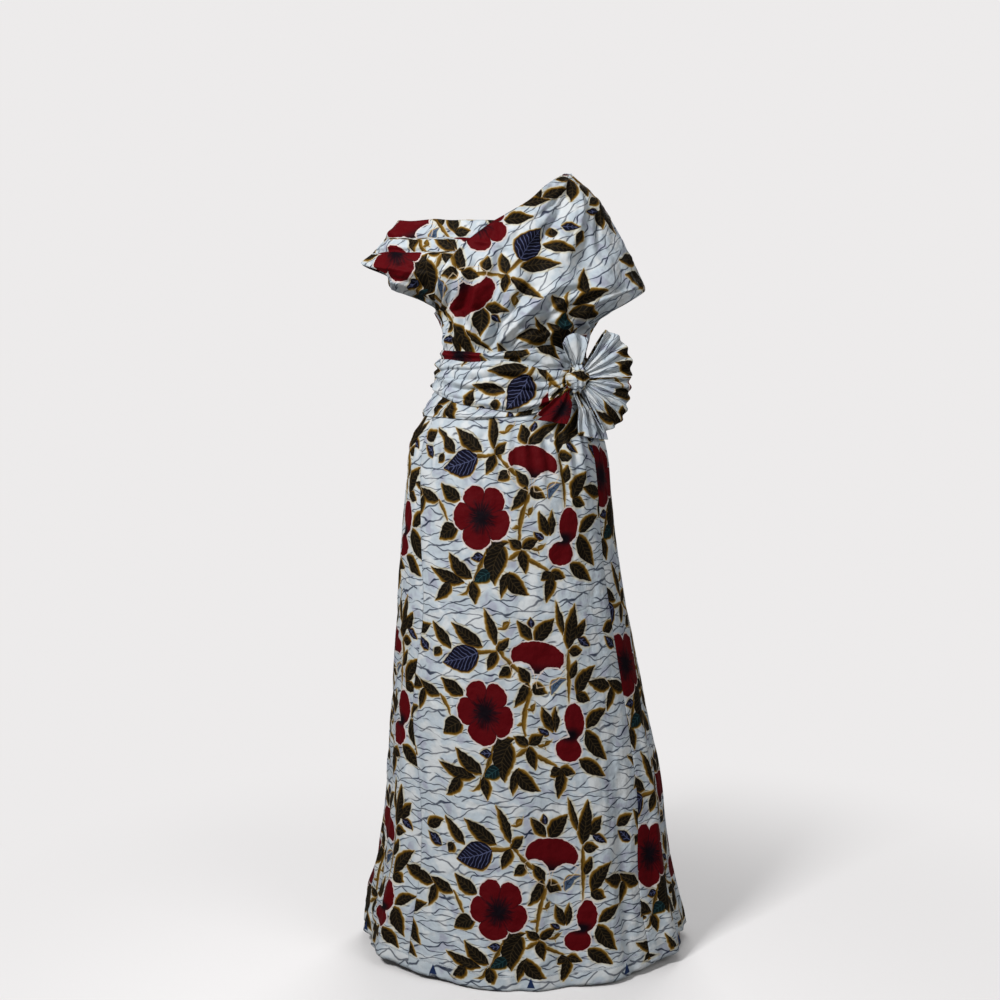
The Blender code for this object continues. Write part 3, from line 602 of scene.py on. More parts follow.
def mainFlower(away):
    # five uneven petals, a radius that swells as a low power of a sine, dark from the middle in streaks
    shape = mainShape
    squashed = away * shape["squash"]
    x, y, _ = parted(squashed)
    r, turn = calc("LENGTH", squashed), calc("ARCTAN2", y, x)
    warped = calc("SINE", turn + shape["unevenTurn"]) * shape["uneven"] + turn
    lobes = calc("ABSOLUTE", calc("SINE", warped * (shape["petals"] / 2) + shape["turn"]))
    lobes = calc("POWER", lobes, shape["bluntness"])
    across, outward = shape["streaks"]
    streak = noise(joined(turn * across, r * outward, 0.0), 1.0, 1.0)
    spread = (streak - 0.5) * shape["streakLength"] + r
    dark = calc("MAXIMUM", step(spread, *shape["dark"]), step(lobes, *shape["notch"]) * shape["notchDark"])
    return r - (lobes * shape["petal"] + shape["radius"]), dark


def bellFlower(away):
    # a wide cap less two round cups, dark below, and how far each point is from the fine line that goes
    # round the cups
    shape = bellShape
    tilted = spun(away, math.radians(shape["tilt"]))
    cups = calc("MINIMUM", *(calc("DISTANCE", tilted, middle) - radius for middle, radius in shape["cups"]))
    cap = calc("LENGTH", tilted * shape["squash"]) - shape["radius"]
    line = calc("MAXIMUM", cups, calc("LENGTH", tilted) - shape["lineRadius"])
    dark = step(parted(tilted)[1], *shape["dark"])
    return calc("MAXIMUM", cap, cups * -1.0), dark, calc("ABSOLUTE", line)


def foldedFlower(away):
    # two lobes that run together at a dark throat
    shape = foldedShape
    lobes = (oval(away, *lobe) for lobe in shape["lobes"])
    return calc("SMOOTH_MIN", *lobes, shape["joint"]), step(oval(away, *shape["throat"]), *shape["dark"])


def flowerOver(point, nearest, ground):
    # the nearest flower over a ground
    x, y, kind = parted(nearest)
    away = point - joined(x, y, 0.0)
    isMain, isFolded = calc("LESS_THAN", kind, 0.5), calc("GREATER_THAN", kind, 1.5)
    main, mainDark = mainFlower(away)
    bell, bellDark, cupEdge = bellFlower(away)
    folded, foldedDark = foldedFlower(away)
    depth = blend(isMain, blend(isFolded, bell, folded, "FLOAT"), main, "FLOAT")
    dark = blend(isMain, blend(isFolded, bellDark, foldedDark, "FLOAT"), mainDark, "FLOAT")
    cupLine = step(cupEdge, *bellShape["line"]) * (1.0 - isMain - isFolded)
    colour = blend(cupLine * bellShape["lineStrength"], ground, inks["cupLine"])
    colour = blend(step(depth, *flowerEdges["halo"]), colour, inks["flowerHalo"])
    red = blend(dark, inks["crimson"], inks["crimsonDark"])
    return blend(step(depth, *flowerEdges["fill"]), colour, red)


selvedge = {"border": (0.026, 0.022), "net": (0.9, 0.55, 1.0), "leavesStart": 0.012,
            "markEvery": 0.093, "markHalf": 0.0092, "markTaper": 0.42, "markStarts": 0.005,
            "markEdge": (0.0008, -0.0004)}


def selvedgeMark(point, height):
    # small dark arrowheads along the selvedge, which is the hem, two to each repeat
    aside = calc("PINGPONG", parted(point)[0], selvedge["markEvery"])
    edge = height * selvedge["markTaper"] + (aside - selvedge["markHalf"])
    edge = calc("MAXIMUM", edge, selvedge["markStarts"] - height)
    return step(edge, *selvedge["markEdge"])


cotton = {"roughness": 0.7, "specular": 0.07, "drawnGrain": 90.0, "drawnShake": (0.004, 0.004, 0.0),
          "crumple": (34.0, 4.0), "bumpStrength": 0.8, "bumpDistance": 0.006}


def newMaterial(name):
    material = bpy.data.materials.new(name)
    material.use_nodes = True
    return material, material.node_tree, material.node_tree.nodes["Principled BSDF"]


def fabricMaterial():
    # cotton wax print: the drawn inks, their edges a little shaken, on matt, slightly crumpled cloth
    material, tree, shader = newMaterial("ankaraPrint")
    place = source(tree, "UVMap", "UV", uv_map="cloth")
    height = source(tree, "Attribute", "Fac", attribute_name="fromHem")

    def field(name):
        return source(tree, "Attribute", "Vector", attribute_name=name)

    shaken = noise(place, cotton["drawnGrain"], 1.0, "Color") - (0.5, 0.5, 0.5)
    point = shaken * cotton["drawnShake"] + place
    leafOver, kinds = leafGroup(), parted(field("leafKinds"))
    depth, look = 1.0, (0.0, 0.0, 0.0)
    for i in range(waxPrint["leavesNear"]):
        node = newNode("Group", tree=tree, node_tree=leafOver)
        leaf = (point, field(f"leafPlace{i}"), field(f"leafShape{i}"), kinds[i], depth, look)
        for value, socket in zip(leaf, node.inputs):
            plug(value, socket)
        depth, look = (Wire(socket) for socket in node.outputs)
    inBorder = step(height, *selvedge["border"])
    colour = waxGround(blend(inBorder, place, place * selvedge["net"], "VECTOR"))
    colour = leavesOver(calc("MAXIMUM", depth, selvedge["leavesStart"] - height), look, colour)
    colour = flowerOver(point, field("flower"), colour)
    plug(blend(selvedgeMark(place, height), colour, inks["mark"]), shader.inputs["Base Color"])
    plug(cotton["roughness"], shader.inputs["Roughness"])
    plug(cotton["specular"], shader.inputs["Specular IOR Level"])
    bump = tree.nodes.new("ShaderNodeBump")
    plug(cotton["bumpStrength"], bump.inputs["Strength"])
    plug(cotton["bumpDistance"], bump.inputs["Distance"])
    plug(noise(place, *cotton["crumple"]), bump.inputs["Height"])
    plug(Wire(bump.outputs["Normal"]), shader.inputs["Normal"])
    return material


fabric = fabricMaterial()
print("print material made:", len(fabric.node_tree.nodes), "nodes")

# Skirt
skirt = {
    "hemLow": 0.004,
    "sideRise": 0.022,
    "gather": 0.0036, "gatherTop": 1.016, "gatherFull": 0.965, "gatherEnd": 0.84,
    "groove": 0.002, "grooveDegrees": 4.7, "foldsClearDegrees": 12.0,
    "ripple": 0.0011, "longestRipple": 0.16, "rippleUpright": 0.8,
    "hemStretch": 0.22, "stretchBelow": 0.142,
}
seams = table("z rightSide leftSide middleBack", (
    (0.00, -44.0, 48.0, 180.0),
    (0.15, -44.0, 49.0, 180.0),
    (0.30, -47.0, 53.0, 180.0),
    (0.48, -55.0, 56.0, 180.0),
    (0.66, -49.0, 57.0, 180.0),
    (0.80, -54.0, 58.0, 180.0),
    (0.95, -60.0, 60.0, 180.0),
    (1.10, -62.0, 60.0, 180.0),
))
skirtPanels = rowsOf("name hangsFrom fromSeam toSeam turns gathers columns rows flower", (
    ("skirt_front", "drape_front", "rightSide", "leftSide", 0, 13, 180, 230, "main"),
    ("skirt_back_left", "drape_back", "leftSide", "middleBack", 0, 8, 130, 190, "main"),
    ("skirt_back_right", "drape_back", "middleBack", "rightSide", 1, 8, 130, 190, "folded"),
))
skirtPrint = {      # the heights that each panel's flower comes at, and its angle at each of them
    "skirt_front": ((0.142, 0.487, 0.841), (-9.2, -14.8, -14.4)),
    "skirt_back_left": ((0.207, 0.557, 0.907), (57.3, 62.8, 65.0)),
    "skirt_back_right": ((0.100, 0.452, 0.825, 0.950), (299.5, 296.0, 288.0, 279.0)),
}
skirtFolds = rowsOf("atWaist atHem halfWidth height startsZ", (
    (-32.0, -30.0, 10.0, -0.006, 0.80),
    (-12.0, -12.0, 12.0, 0.005, 0.60),
    (10.0, 14.0, 10.0, -0.006, 0.70),
    (30.0, 32.0, 9.0, 0.007, 0.75),
    (44.0, 41.0, 6.0, -0.007, 0.60),
    (66.0, 62.0, 9.0, 0.012, 0.80),
    (80.0, 78.0, 7.0, -0.012, 0.70),
    (95.0, 96.0, 9.0, 0.010, 0.85),
    (114.0, 114.0, 9.0, -0.014, 0.85),
    (131.0, 131.0, 9.0, 0.015, 0.90),
    (148.0, 148.0, 9.0, -0.013, 0.90),
    (165.0, 165.0, 9.0, 0.014, 0.92),
    (195.0, 195.0, 9.0, 0.013, 0.90),
    (213.0, 212.0, 9.0, -0.014, 0.90),
    (230.0, 229.0, 9.0, 0.014, 0.90),
    (247.0, 247.0, 9.0, -0.012, 0.85),
    (264.0, 263.0, 9.0, 0.008, 0.80),
    (281.0, 283.0, 8.0, -0.010, 0.55),
    (299.0, 302.0, 8.0, 0.009, 0.70),
))


def seamAngle(z, name):
    return np.radians(smoothOn(z, seams["z"], seams[name]))


def skirtStandOff(phi, z, gathers, fromSeam):
    # how far the skirt stands off the outline: a squared cosine across each fold, growing from where the
    # fold starts to the hem, less a cosine of gathers under the sash, and a groove down each seam
    out = 0 * phi
    down = np.clip((dress["waistSeam"] - z) / dress["waistSeam"], 0, 1)
    for fold in skirtFolds:
        line = fold["atWaist"] + (fold["atHem"] - fold["atWaist"]) * down
        apart = (np.degrees(phi) - line + 180) % 360 - 180
        out = out + fold["height"] * ridge(apart, fold["halfWidth"]) * ease(fold["startsZ"], 0.0, z)
    low = ease(skirt["gatherTop"], skirt["gatherFull"], z)
    rise = low * (1 - ease(skirt["gatherFull"], skirt["gatherEnd"], z))
    out = out - skirt["gather"] * rise * np.cos(2 * math.pi * gathers)
    groove = skirt["groove"] * np.clip(1 - fromSeam / skirt["grooveDegrees"], 0, 1) * low
    return out * ease(skirt["grooveDegrees"], skirt["foldsClearDegrees"], fromSeam) - groove


def skirtPanel(panel, seed):
    # columns run evenly from seam to seam, rows evenly down, and the hem rises with the squared sine of
    # the angle, to the sides
    share = np.linspace(0, 1, panel["columns"] + 1)[None, :]
    top = dress["waistSeam"] - dress["seamGap"] / 2
    z = np.linspace(top, 0, panel["rows"] + 1)[:, None]
    first = seamAngle(z, panel["fromSeam"]) + halfGapAngle(z)
    last = seamAngle(z, panel["toSeam"]) + 2 * math.pi * panel["turns"] - halfGapAngle(z)
    phi = first + share * (last - first)
    fromSeam = np.degrees(np.minimum(phi - first, last - phi))
    z = z + (skirt["hemLow"] + skirt["sideRise"] * np.sin(phi) ** 2) * (1 - z / top)
    out = skirtStandOff(phi, z, share * panel["gathers"], fromSeam)
    free = ease(0, skirt["foldsClearDegrees"], fromSeam) * ease(skirt["gatherTop"], skirt["gatherFull"], z)
    around = phi * ring(z, "right")
    out = out + free * ripple(around, z, seed, skirt["longestRipple"], skirt["ripple"],
                               skirt["rippleUpright"])
    grid = onRing(phi, z, out)
    heights, degrees = skirtPrint[panel["name"]]
    s = fromMark(lengthsAlong(grid, 1), np.degrees(phi), np.interp(z[:, :1], heights, degrees))
    t = z - heights[1] - skirt["hemStretch"] * np.maximum(skirt["stretchBelow"] - z, 0)
    place = turned(s, t, 0.0, flowers[panel["flower"]])
    clothPiece(panel["name"], grid, place, "gathered", fromHem=z - z[-1:])


# Bodice: the drape over the left shoulder and the band round the right arm
bodice = {
    "edgeCrowding": 3.0, "crowdingShare": 0.8, "leastMoved": 0.01,
    "seamCrowding": 0.1,
    "sleeveBluntness": 0.85,
    "drapeTop": 1.4655, "drapeColumns": 140, "drapeRows": 136,
    "gatherClear": 0.12, "gatherLow": 1.150,
    "foldsStart": 0.003, "foldsFull": 0.020, "foldsFade": 0.10,
    "creasesDeep": 1.95, "creasesClear": 0.09, "deepest": -0.0095,
    "bandLow": 1.185, "bandBeside": 0.025, "deepestOverBand": 0.3,     # the band lies close beneath
    "bandBottom": 1.206, "bandTop": 1.379, "bandColumns": 90, "bandRows": 70,
    "sinks": (0.1, 0.5), "creasesEnd": (0.5, 0.75), "creasesBegin": (0.0, 0.15),      # shares round the band
    "topDip": 0.010, "rimWaver": 0.0018, "rimWaves": 75,
    "tuckHides": 0.045, "tuckFold": (-0.013, -0.009),
    "measuredFrom": 1.0, "measuredSteps": 400,
    "ripple": 0.0016, "longestRipple": 0.11, "drapeUpright": 0.3, "bandUpright": 0.2,
}
drapeEdge = table("z drapeX bandX", (
    (1.19, -0.152, -0.110),
    (1.21, -0.149, -0.100),
    (1.24, -0.147, -0.092),
    (1.27, -0.138, -0.082),
    (1.30, -0.118, -0.066),
    (1.33, -0.090, -0.045),
    (1.366, -0.044, -0.012),
    (1.385, -0.012, 0.010),
    (1.41, 0.026, 0.030),
    (1.437, 0.054, 0.056),
    (1.453, 0.074, 0.076),
    (1.466, 0.094, 0.096),
))
leftSleeve = {"lowZ": 1.176, "highZ": 1.251, "partedDegrees": 31.0}
rightSleeve = {"lowZ": 1.251, "highZ": 1.302, "partedDegrees": 29.0}


def creases(rows):
    # where each ridge or trough runs, given in mm
    return rowsOf("fromX fromZ toX toZ halfWidth height bow", np.array(rows) / 1000)


frontCreases = creases((
    (-46, 1128, 80, 1252, 10, 5.2, 4),
    (-34, 1128, 112, 1226, 9, -4.5, 4),
    (-56, 1128, 50, 1296, 10, -4.6, 3),
    (-64, 1128, -16, 1286, 9, 5, -3),
    (-8, 1128, 130, 1200, 10, 5.2, 3),
    (-80, 1128, -72, 1262, 8, 4, -4),
    (-95, 1128, -105, 1245, 8, -4, -4),
    (30, 1126, 120, 1172, 8, -4, 2),
    (50, 1126, 128, 1156, 7, 4, 2),
    (-108, 1140, -122, 1236, 10, 2.2, 2),
    (88, 1440, -30, 1330, 13, 3.5, 6),
    (98, 1430, 20, 1310, 14, -3.5, 8),
    (120, 1420, 90, 1300, 14, 4, 8),
    (150, 1390, 160, 1280, 13, -3.5, -4),
    (-70, 1330, 60, 1290, 10, 2.8, 6),
))
backCreases = creases((
    (-60, 1128, 70, 1262, 11, 5, 4),
    (-30, 1128, 105, 1226, 10, -4.6, 4),
    (-75, 1128, 5, 1300, 10, -4.6, 3),
    (-90, 1128, -60, 1276, 9, 4.4, -3),
    (0, 1128, 125, 1196, 10, 5, 3),
    (40, 1128, 128, 1166, 8, -4, 2),
    (-110, 1130, -120, 1240, 9, 4, -4),
    (90, 1436, -40, 1320, 13, 3.6, 6),
    (110, 1425, 60, 1300, 14, -3.6, 8),
    (145, 1395, 140, 1290, 13, 3.4, -4),
))
bandCreases = creases((
    (-272, 1290, -120, 1262, 9, 3, 4),
    (-250, 1275, -125, 1236, 9, -3.4, 4),
    (-225, 1262, -120, 1214, 9, 3.6, 3),
    (-240, 1322, -100, 1310, 9, -2.8, 3),
    (-205, 1366, -70, 1362, 7, 2.4, 1),
))
frontFolds = rowsOf("at halfWidth height endsZ", (
    (0.10, 0.045, 0.004, 1.25),
    (0.19, 0.050, 0.007, 1.28),
    (0.28, 0.050, 0.009, 1.32),
    (0.37, 0.050, 0.009, 1.37),
    (0.47, 0.055, 0.012, 1.43),
    (0.57, 0.055, 0.012, 1.45),
    (0.67, 0.050, 0.009, 1.41),
    (0.77, 0.050, 0.007, 1.34),
    (0.86, 0.045, 0.005, 1.27),
))
backFolds = rowsOf("at halfWidth height endsZ", (
    (0.14, 0.060, 0.006, 1.27),
    (0.27, 0.065, 0.010, 1.33),
    (0.41, 0.070, 0.010, 1.40),
    (0.55, 0.070, 0.012, 1.44),
    (0.69, 0.065, 0.009, 1.40),
    (0.83, 0.060, 0.006, 1.30),
))
drapes = rowsOf("name back restsOn flowerX flowerZ printTurn gatherDegrees spreadDegrees pull gatherHigh", (
    ("drape_front", False, "band_front", -0.0700, 1.3655, -139.0, -10.0, 46.0, 0.55, 1.280),
    ("drape_back", True, "band_back", 0.060, 1.300, 139.0, 10.0, 50.0, 0.40, 1.290),
))
bands = rowsOf("name back restsOn flowerX flowerZ printTurn", (
    ("band_front", False, "drape_front", -0.200, 1.362, 35.0),
    ("band_back", True, "drape_back", -0.180, 1.300, 20.0),
))
tucks = rowsOf("z halfWidth height", (
    (1.329, 0.013, 0.005),
    (1.355, 0.012, 0.005),
))


def shares(columns):
    even = np.linspace(0, 1, columns + 1)[None, :]
    return even, even - bodice["seamCrowding"] * np.sin(2 * math.pi * even)


def sleeveParted(z, sleeve):
    # how far the cloth has parted from the side at a sleeve, a power of a half sine over its height
    t = np.clip((z - sleeve["lowZ"]) / (sleeve["highZ"] - sleeve["lowZ"]), 0, 1)
    return math.radians(sleeve["partedDegrees"]) * np.sin(math.pi * t) ** bodice["sleeveBluntness"]


def edgeX(z, name):
    return smoothOn(z, drapeEdge["z"], drapeEdge[name])


def heightAlongCloth(z):
    # how far up the cloth each height is, as the length of the front's profile below it
    keys = np.linspace(bodice["measuredFrom"], outline["z"][-1], bodice["measuredSteps"])
    depth = ring(keys, "front")
    lengths = np.concatenate([[0], np.cumsum(np.hypot(np.diff(keys), np.diff(depth)))])
    return np.interp(z, keys, lengths)


def rowsDown(panel, grid):
    # panels behind run the other way round, so that every face points out
    return grid[::-1, ::-1] if panel["back"] else grid[::-1]


def bodicePiece(panel, phi, z, out, held, tilePoint, hidden=0.0):
    # the panel through angles, heights and stand offs. Its print lies evenly over the smooth form, and
    # the creases only lift it
    grid, smooth = (rowsDown(panel, onRing(phi, z, off)) for off in (out, 0 * out))
    x, flowerX = smooth[..., 0], np.full((len(smooth), 1), panel["flowerX"])
    rising, mark = (-x, -flowerX) if panel["back"] else (x, flowerX)
    s = fromMark(lengthsAlong(smooth, 1), rising, mark)
    t = heightAlongCloth(z[::-1] + 0 * s) - heightAlongCloth(panel["flowerZ"]) + hidden
    place = turned(s, t, panel["printTurn"], tilePoint)
    clothPiece(panel["name"], grid, place, held)


def drapePanel(panel, folds, lines, seed):
    # columns run from the slanting edge, where a power of the share crowds them, round to the sleeve. By
    # the sash they are pulled together as a bell curve of the angle. Folds and creases are squared cosines
    bottom = dress["waistSeam"] + dress["seamGap"] / 2
    z = np.linspace(bottom, bodice["drapeTop"], bodice["drapeRows"] + 1)[:, None]
    even, share = shares(bodice["drapeColumns"])
    fromEnd = np.minimum(even, 1 - even)
    side = math.pi / 2 - halfGapAngle(z, dress["seamLean"])
    last = side - sleeveParted(z, leftSleeve)
    edge = np.maximum(angleAt(edgeX(z, "drapeX"), z), -side)
    phi = -side + share * (last + side)
    away = phi - math.radians(panel["gatherDegrees"])
    held = ease(0, bodice["gatherClear"], fromEnd) * (1 - ease(bodice["gatherLow"], panel["gatherHigh"], z))
    phi = phi - away * panel["pull"] * held * np.exp(-(away / math.radians(panel["spreadDegrees"])) ** 2)
    moved = edge + side
    crowding = bodice["crowdingShare"] * (last + side) / np.maximum(moved, bodice["leastMoved"])
    phi = phi + moved * (1 - share) ** np.clip(crowding, 1, bodice["edgeCrowding"])
    phi = math.pi - phi if panel["back"] else phi
    out = 0 * phi
    for fold in folds:
        runsOut = 1 - ease(fold["endsZ"] - bodice["foldsFade"], fold["endsZ"], z)
        out = out + fold["height"] * ridge(even - fold["at"], fold["halfWidth"]) * runsOut
    x = ringPoint(phi, z)[0][..., 0]
    soft = bodice["creasesDeep"] * creased(x, z, lines)
    soft = soft + ripple(x, z, seed, bodice["longestRipple"], bodice["ripple"], bodice["drapeUpright"])
    overBand = ease(bodice["bandLow"], bodice["bandBottom"], z)
    overBand = overBand * ease(bodice["bandBeside"], 0.0, x - edgeX(z, "bandX"))
    soft = np.maximum(soft, bodice["deepest"] * (1 - (1 - bodice["deepestOverBand"]) * overBand))
    out = out + soft * ease(0.0, bodice["creasesClear"], fromEnd)
    aboveSash = z - wrapEdge(phi, wrapCalled("sash_top_wrap")["top"])
    out = out * ease(bodice["foldsStart"], bodice["foldsFull"], aboveSash)
    bodicePiece(panel, phi, z, out, "draped", flowers["main"])


def bandPanel(panel, seed):
    # columns run from the sleeve to the edge under the drape, where the band sinks to its inner layer. A
    # tuck is a squared cosine of the height, and the top edge wavers as a sine
    even, share = shares(bodice["bandColumns"])
    z = np.linspace(bodice["bandBottom"], bodice["bandTop"], bodice["bandRows"] + 1)[:, None]
    first = -(math.pi / 2 - halfGapAngle(z, dress["seamLean"])) + sleeveParted(z, rightSleeve)
    last = angleAt(edgeX(z, "bandX"), z)
    phi = first + share * (last - first)
    phi = math.pi - phi if panel["back"] else phi
    byUnderarm = 1 - ease(bodice["bandBottom"], rightSleeve["lowZ"], z)
    out = -dress["bandUnder"] * np.maximum(ease(*bodice["sinks"], share), byUnderarm)
    clear = (1 - ease(*bodice["creasesEnd"], share)) * ease(*bodice["creasesBegin"], share)
    hidden = 0 * z
    for tuck in tucks:
        above = z - tuck["z"]
        out = out + tuck["height"] * ridge(above, tuck["halfWidth"]) * clear
        hidden = hidden + bodice["tuckHides"] * ease(*bodice["tuckFold"], above)
    x = ringPoint(phi, z)[0][..., 0]
    soft = ripple(x, z, seed, bodice["longestRipple"], bodice["ripple"], bodice["bandUpright"])
    out = out + (creased(x, z, bandCreases) + soft) * clear
    waver = bodice["rimWaver"] * clear * np.sin(bodice["rimWaves"] * x)
    z = z + ease(z[0], z[-1], z) * (waver - bodice["topDip"] * share)
    bodicePiece(panel, phi, z, out, "folded", flowers["bell"], (hidden - hidden[-1])[::-1])


# Sash
sash = {
    "columns": 240,
    "uneven": 0.25, "unevenRound": 3, "unevenUp": 9,
    "pressed": 0.7, "pressedSpread": 0.4, "rollsPressed": 0.5,
    "ripple": 0.0012, "longestRipple": 0.06, "rippleUpright": 0.2,
    "plainEdge": 0.10, "rollRoundness": 0.6, "clearance": (0.003, 0.012),
    "swell": (0.62, 0.38), "swellUp": 1.6,
    "edgeWaver": 0.0016, "edgeWaves": ((1.0, 5, 1), (0.6, 9, 2)),
    "slantTurn": 0.6, "slantWaves": ((0.25, 3, 1), (0.08, 8, 2)),
    "joinOver": 0.4, "hideSharp": 0.05,
    "waistRadius": 0.14, "width": 0.07,     # about, to measure the ripple by
}
wrapAngles = np.array([-90.0, -35.0, 0.0, 26.0, 46.0, 90.0, 180.0, 270.0])
wraps = (
    {"name": "sash_top_wrap", "layer": 1, "rows": 40, "restsOn": "drape_front",
     "pleats": 2.6, "deep": 0.0060, "slant": 0.55,
     "top": (1.138, 1.134, 1.133, 1.146, 1.134, 1.120, 1.132, 1.138),
     "bottom": (1.104, 1.100, 1.098, 1.086, 1.084, 1.086, 1.098, 1.104),
     "folds": (0.0, 0.0, 0.0, 0.0026, 0.0), "print": (-47.0, 0.88), "printTurn": 0.0, "tile": (127, 157),
     "hides": ((-27.0, 0.020, -0.105),)},
    {"name": "sash_middle_wrap", "layer": 2, "rows": 60, "restsOn": "sash_top_wrap",
     "pleats": 4.3, "deep": 0.0096, "slant": -0.9,
     "top": (1.122, 1.117, 1.114, 1.100, 1.103, 1.106, 1.118, 1.122),
     "bottom": (1.066, 1.040, 1.024, 1.040, 1.064, 1.052, 1.040, 1.066),
     "folds": (0.0, 0.005, 0.0, 0.006, 0.0, 0.005, 0.0), "print": (3.0, 0.40), "printTurn": 44.0,
     "tile": (84, 254), "hides": ((24.0, 0.100, -0.020),)},
    {"name": "sash_low_wrap", "layer": 1, "rows": 48, "restsOn": "skirt_front",
     "pleats": 3.4, "deep": 0.0074, "slant": 1.1,
     "top": (1.082, 1.066, 1.052, 1.062, 1.082, 1.072, 1.060, 1.082),
     "bottom": (1.016, 1.013, 1.014, 1.028, 1.044, 1.030, 1.012, 1.016),
     "folds": (0.0, 0.0035, 0.0, 0.0, 0.0), "print": (-30.0, 0.2), "printTurn": 25.0,
     "tile": (88, 36), "hides": ((-60.0, 0.06, 0.0),)},
)


def wrapCalled(name):
    return next(wrap for wrap in wraps if wrap["name"] == name)


def wrapEdge(phi, levels):
    return smoothOn((np.degrees(phi) + 90) % 360 - 90, wrapAngles, np.array(levels))


def fromKnot(phi):
    # the angle round the waist from the knot
    return (phi - math.radians(knot["angle"]) + math.pi) % (2 * math.pi) - math.pi


def nearKnot(phi):
    return np.exp(-(fromKnot(phi) / sash["pressedSpread"]) ** 2)


def wavesRound(phi, waves, seed):
    # a sum of sines round the waist, each with its height, how many go round, and how far the seed moves it
    return sum(height * np.sin(count * phi + shift * seed) for height, count, shift in waves)


def clearOfMiddle(wrap, phi, z):
    # the other two turns lie flat where the middle one covers them
    middle = wrapCalled("sash_middle_wrap")
    if wrap is middle:
        return 1.0
    above, below = z - wrapEdge(phi, middle["top"]), wrapEdge(phi, middle["bottom"]) - z
    return ease(*sash["clearance"], np.maximum(above, below))


def wrapSurface(wrap, phi, up):
    # the smooth turn of cloth between two curves round the waist, up it by the share up, stood off by its
    # few broad folds and without its creases
    low, high = wrapEdge(phi, wrap["bottom"]), wrapEdge(phi, wrap["top"])
    z = low + (high - low) * up + sash["edgeWaver"] * wavesRound(phi, sash["edgeWaves"], wrap["layer"])
    heights = np.array(wrap["folds"])
    uneven = np.sin(sash["unevenRound"] * phi + sash["unevenUp"] * up)
    fold = smoothOn(up, np.linspace(0, 1, len(heights)), heights) * (1 + sash["uneven"] * (uneven - 1))
    fold = fold * clearOfMiddle(wrap, phi, z) * (1 - sash["pressed"] * nearKnot(phi))
    return onRing(phi, z, wrap["layer"] * dress["layer"] + fold)


def wrapCreases(wrap, phi, up, seed):
    # lengthwise folds of the wound cloth, round rolls with sharp troughs between, a power of a sine's
    # size, that slant and swell as they go round
    slant = wrap["slant"] * np.sin(phi - math.radians(knot["angle"]) + sash["slantTurn"])
    slant = slant + wavesRound(phi, sash["slantWaves"], seed)
    roll = np.abs(np.sin(math.pi * (up * wrap["pleats"] + slant))) ** sash["rollRoundness"]
    middle, change = sash["swell"]
    swell = middle + change * np.cos(2 * phi + sash["swellUp"] * (up - 0.5))
    swell = swell * (1 - sash["rollsPressed"] * nearKnot(phi))
    around, across = phi * sash["waistRadius"], up * sash["width"]
    soft = ripple(around, across, seed, sash["longestRipple"], sash["ripple"], sash["rippleUpright"])
    return (wrap["deep"] * roll * swell + soft) * ease(0, sash["plainEdge"], np.minimum(up, 1 - up))


def sashWrap(wrap, seed):
    # one turn of the sash: its smooth surface, lifted by its creases, with two close columns at each
    # place where the print jumps over what a fold hides
    sharp = [math.radians(at + side * sash["hideSharp"]) for at, _, _ in wrap["hides"] for side in (-1, 1)]
    even = np.linspace(-math.pi / 2, 1.5 * math.pi, sash["columns"] + 1)
    phi = np.sort(np.concatenate([even, sharp]))[None, :]
    up = np.linspace(1, 0, wrap["rows"] + 1)[:, None]
    smooth = wrapSurface(wrap, phi, up)
    way = np.concatenate([ringPoint(phi, smooth[..., 2])[1], 0 * smooth[..., :1]], -1)
    lift, onceRound = (wrapCreases(wrap, at, up, seed) for at in (phi, phi + 2 * math.pi))
    lift = lift + (onceRound - lift) * ease(sash["joinOver"], 0.0, phi + math.pi / 2)
    lift = lift * clearOfMiddle(wrap, phi, smooth[..., 2])
    grid = smooth + lift[..., None] * way
    degrees, share = wrap["print"]
    s = fromMark(lengthsAlong(smooth, 1), np.degrees(phi) + 0 * smooth[..., 0], degrees)
    t = (up - share) * (wrapEdge(phi, wrap["top"]) - wrapEdge(phi, wrap["bottom"]))
    for foldAt, hiddenAlong, hiddenUp in wrap["hides"]:
        past = np.degrees(phi) > foldAt
        s, t = s + hiddenAlong * past, t + hiddenUp * past
    place = turned(s, t, wrap["printTurn"], wrap["tile"])
    clothPiece(wrap["name"], grid[:, :-1], place, "folded", closed=True)


# Bow
knot = {"angle": 46.0, "z": 1.086, "halfWidth": 0.020, "halfHeight": 0.025, "halfDepth": 0.015,
        "lumps": 0.07, "lumpCount": 4, "nearEnd": 0.9, "facing": 0.55, "columns": 96, "rows": 64,
        "pleats": 2.2, "pleatTilt": 0.4, "pleatDepth": 0.22, "pleatLevel": 0.6,
        "tile": (346, 192), "printSpread": 1.4}
bow = {"gap": 0.0008, "lift": 0.003, "rootApart": 0.0016, "rootPleat": 0.22, "openBluntness": 0.7}
loops = rowsOf("name from to reaches opens pleats deep lean columns rows tile printTurn", (
    ("bow_upper_loop", 3.0, 62.0, (0.102, 0.108, 0.108, 0.100), 0.014, 4, 0.0056, 8.0, 120, 60,
     (402, 115), 90.0),
    ("bow_lower_loop", -66.0, 2.4, (0.108, 0.112, 0.104, 0.100), 0.013, 6, 0.0056, 8.0, 140, 60,
     (364, -8), -90.0),
    ("bow_top_loop", 78.0, 118.0, (0.074, 0.082, 0.072), 0.011, 2, 0.0040, 4.0, 60, 48,
     (405, 60), 90.0),
))
tails = rowsOf("name leaves length slant rootWidth endWidth pleats deep tile printTurn", (
    ("bow_pleated_tail", -80.0, 0.082, 0.014, 0.018, 0.054, 3, 0.0042, (390, 60), 90.0),
    ("bow_side_tail", -140.0, 0.064, -0.046, 0.013, 0.062, 2, 0.0032, (110, 170), 0.0),
))
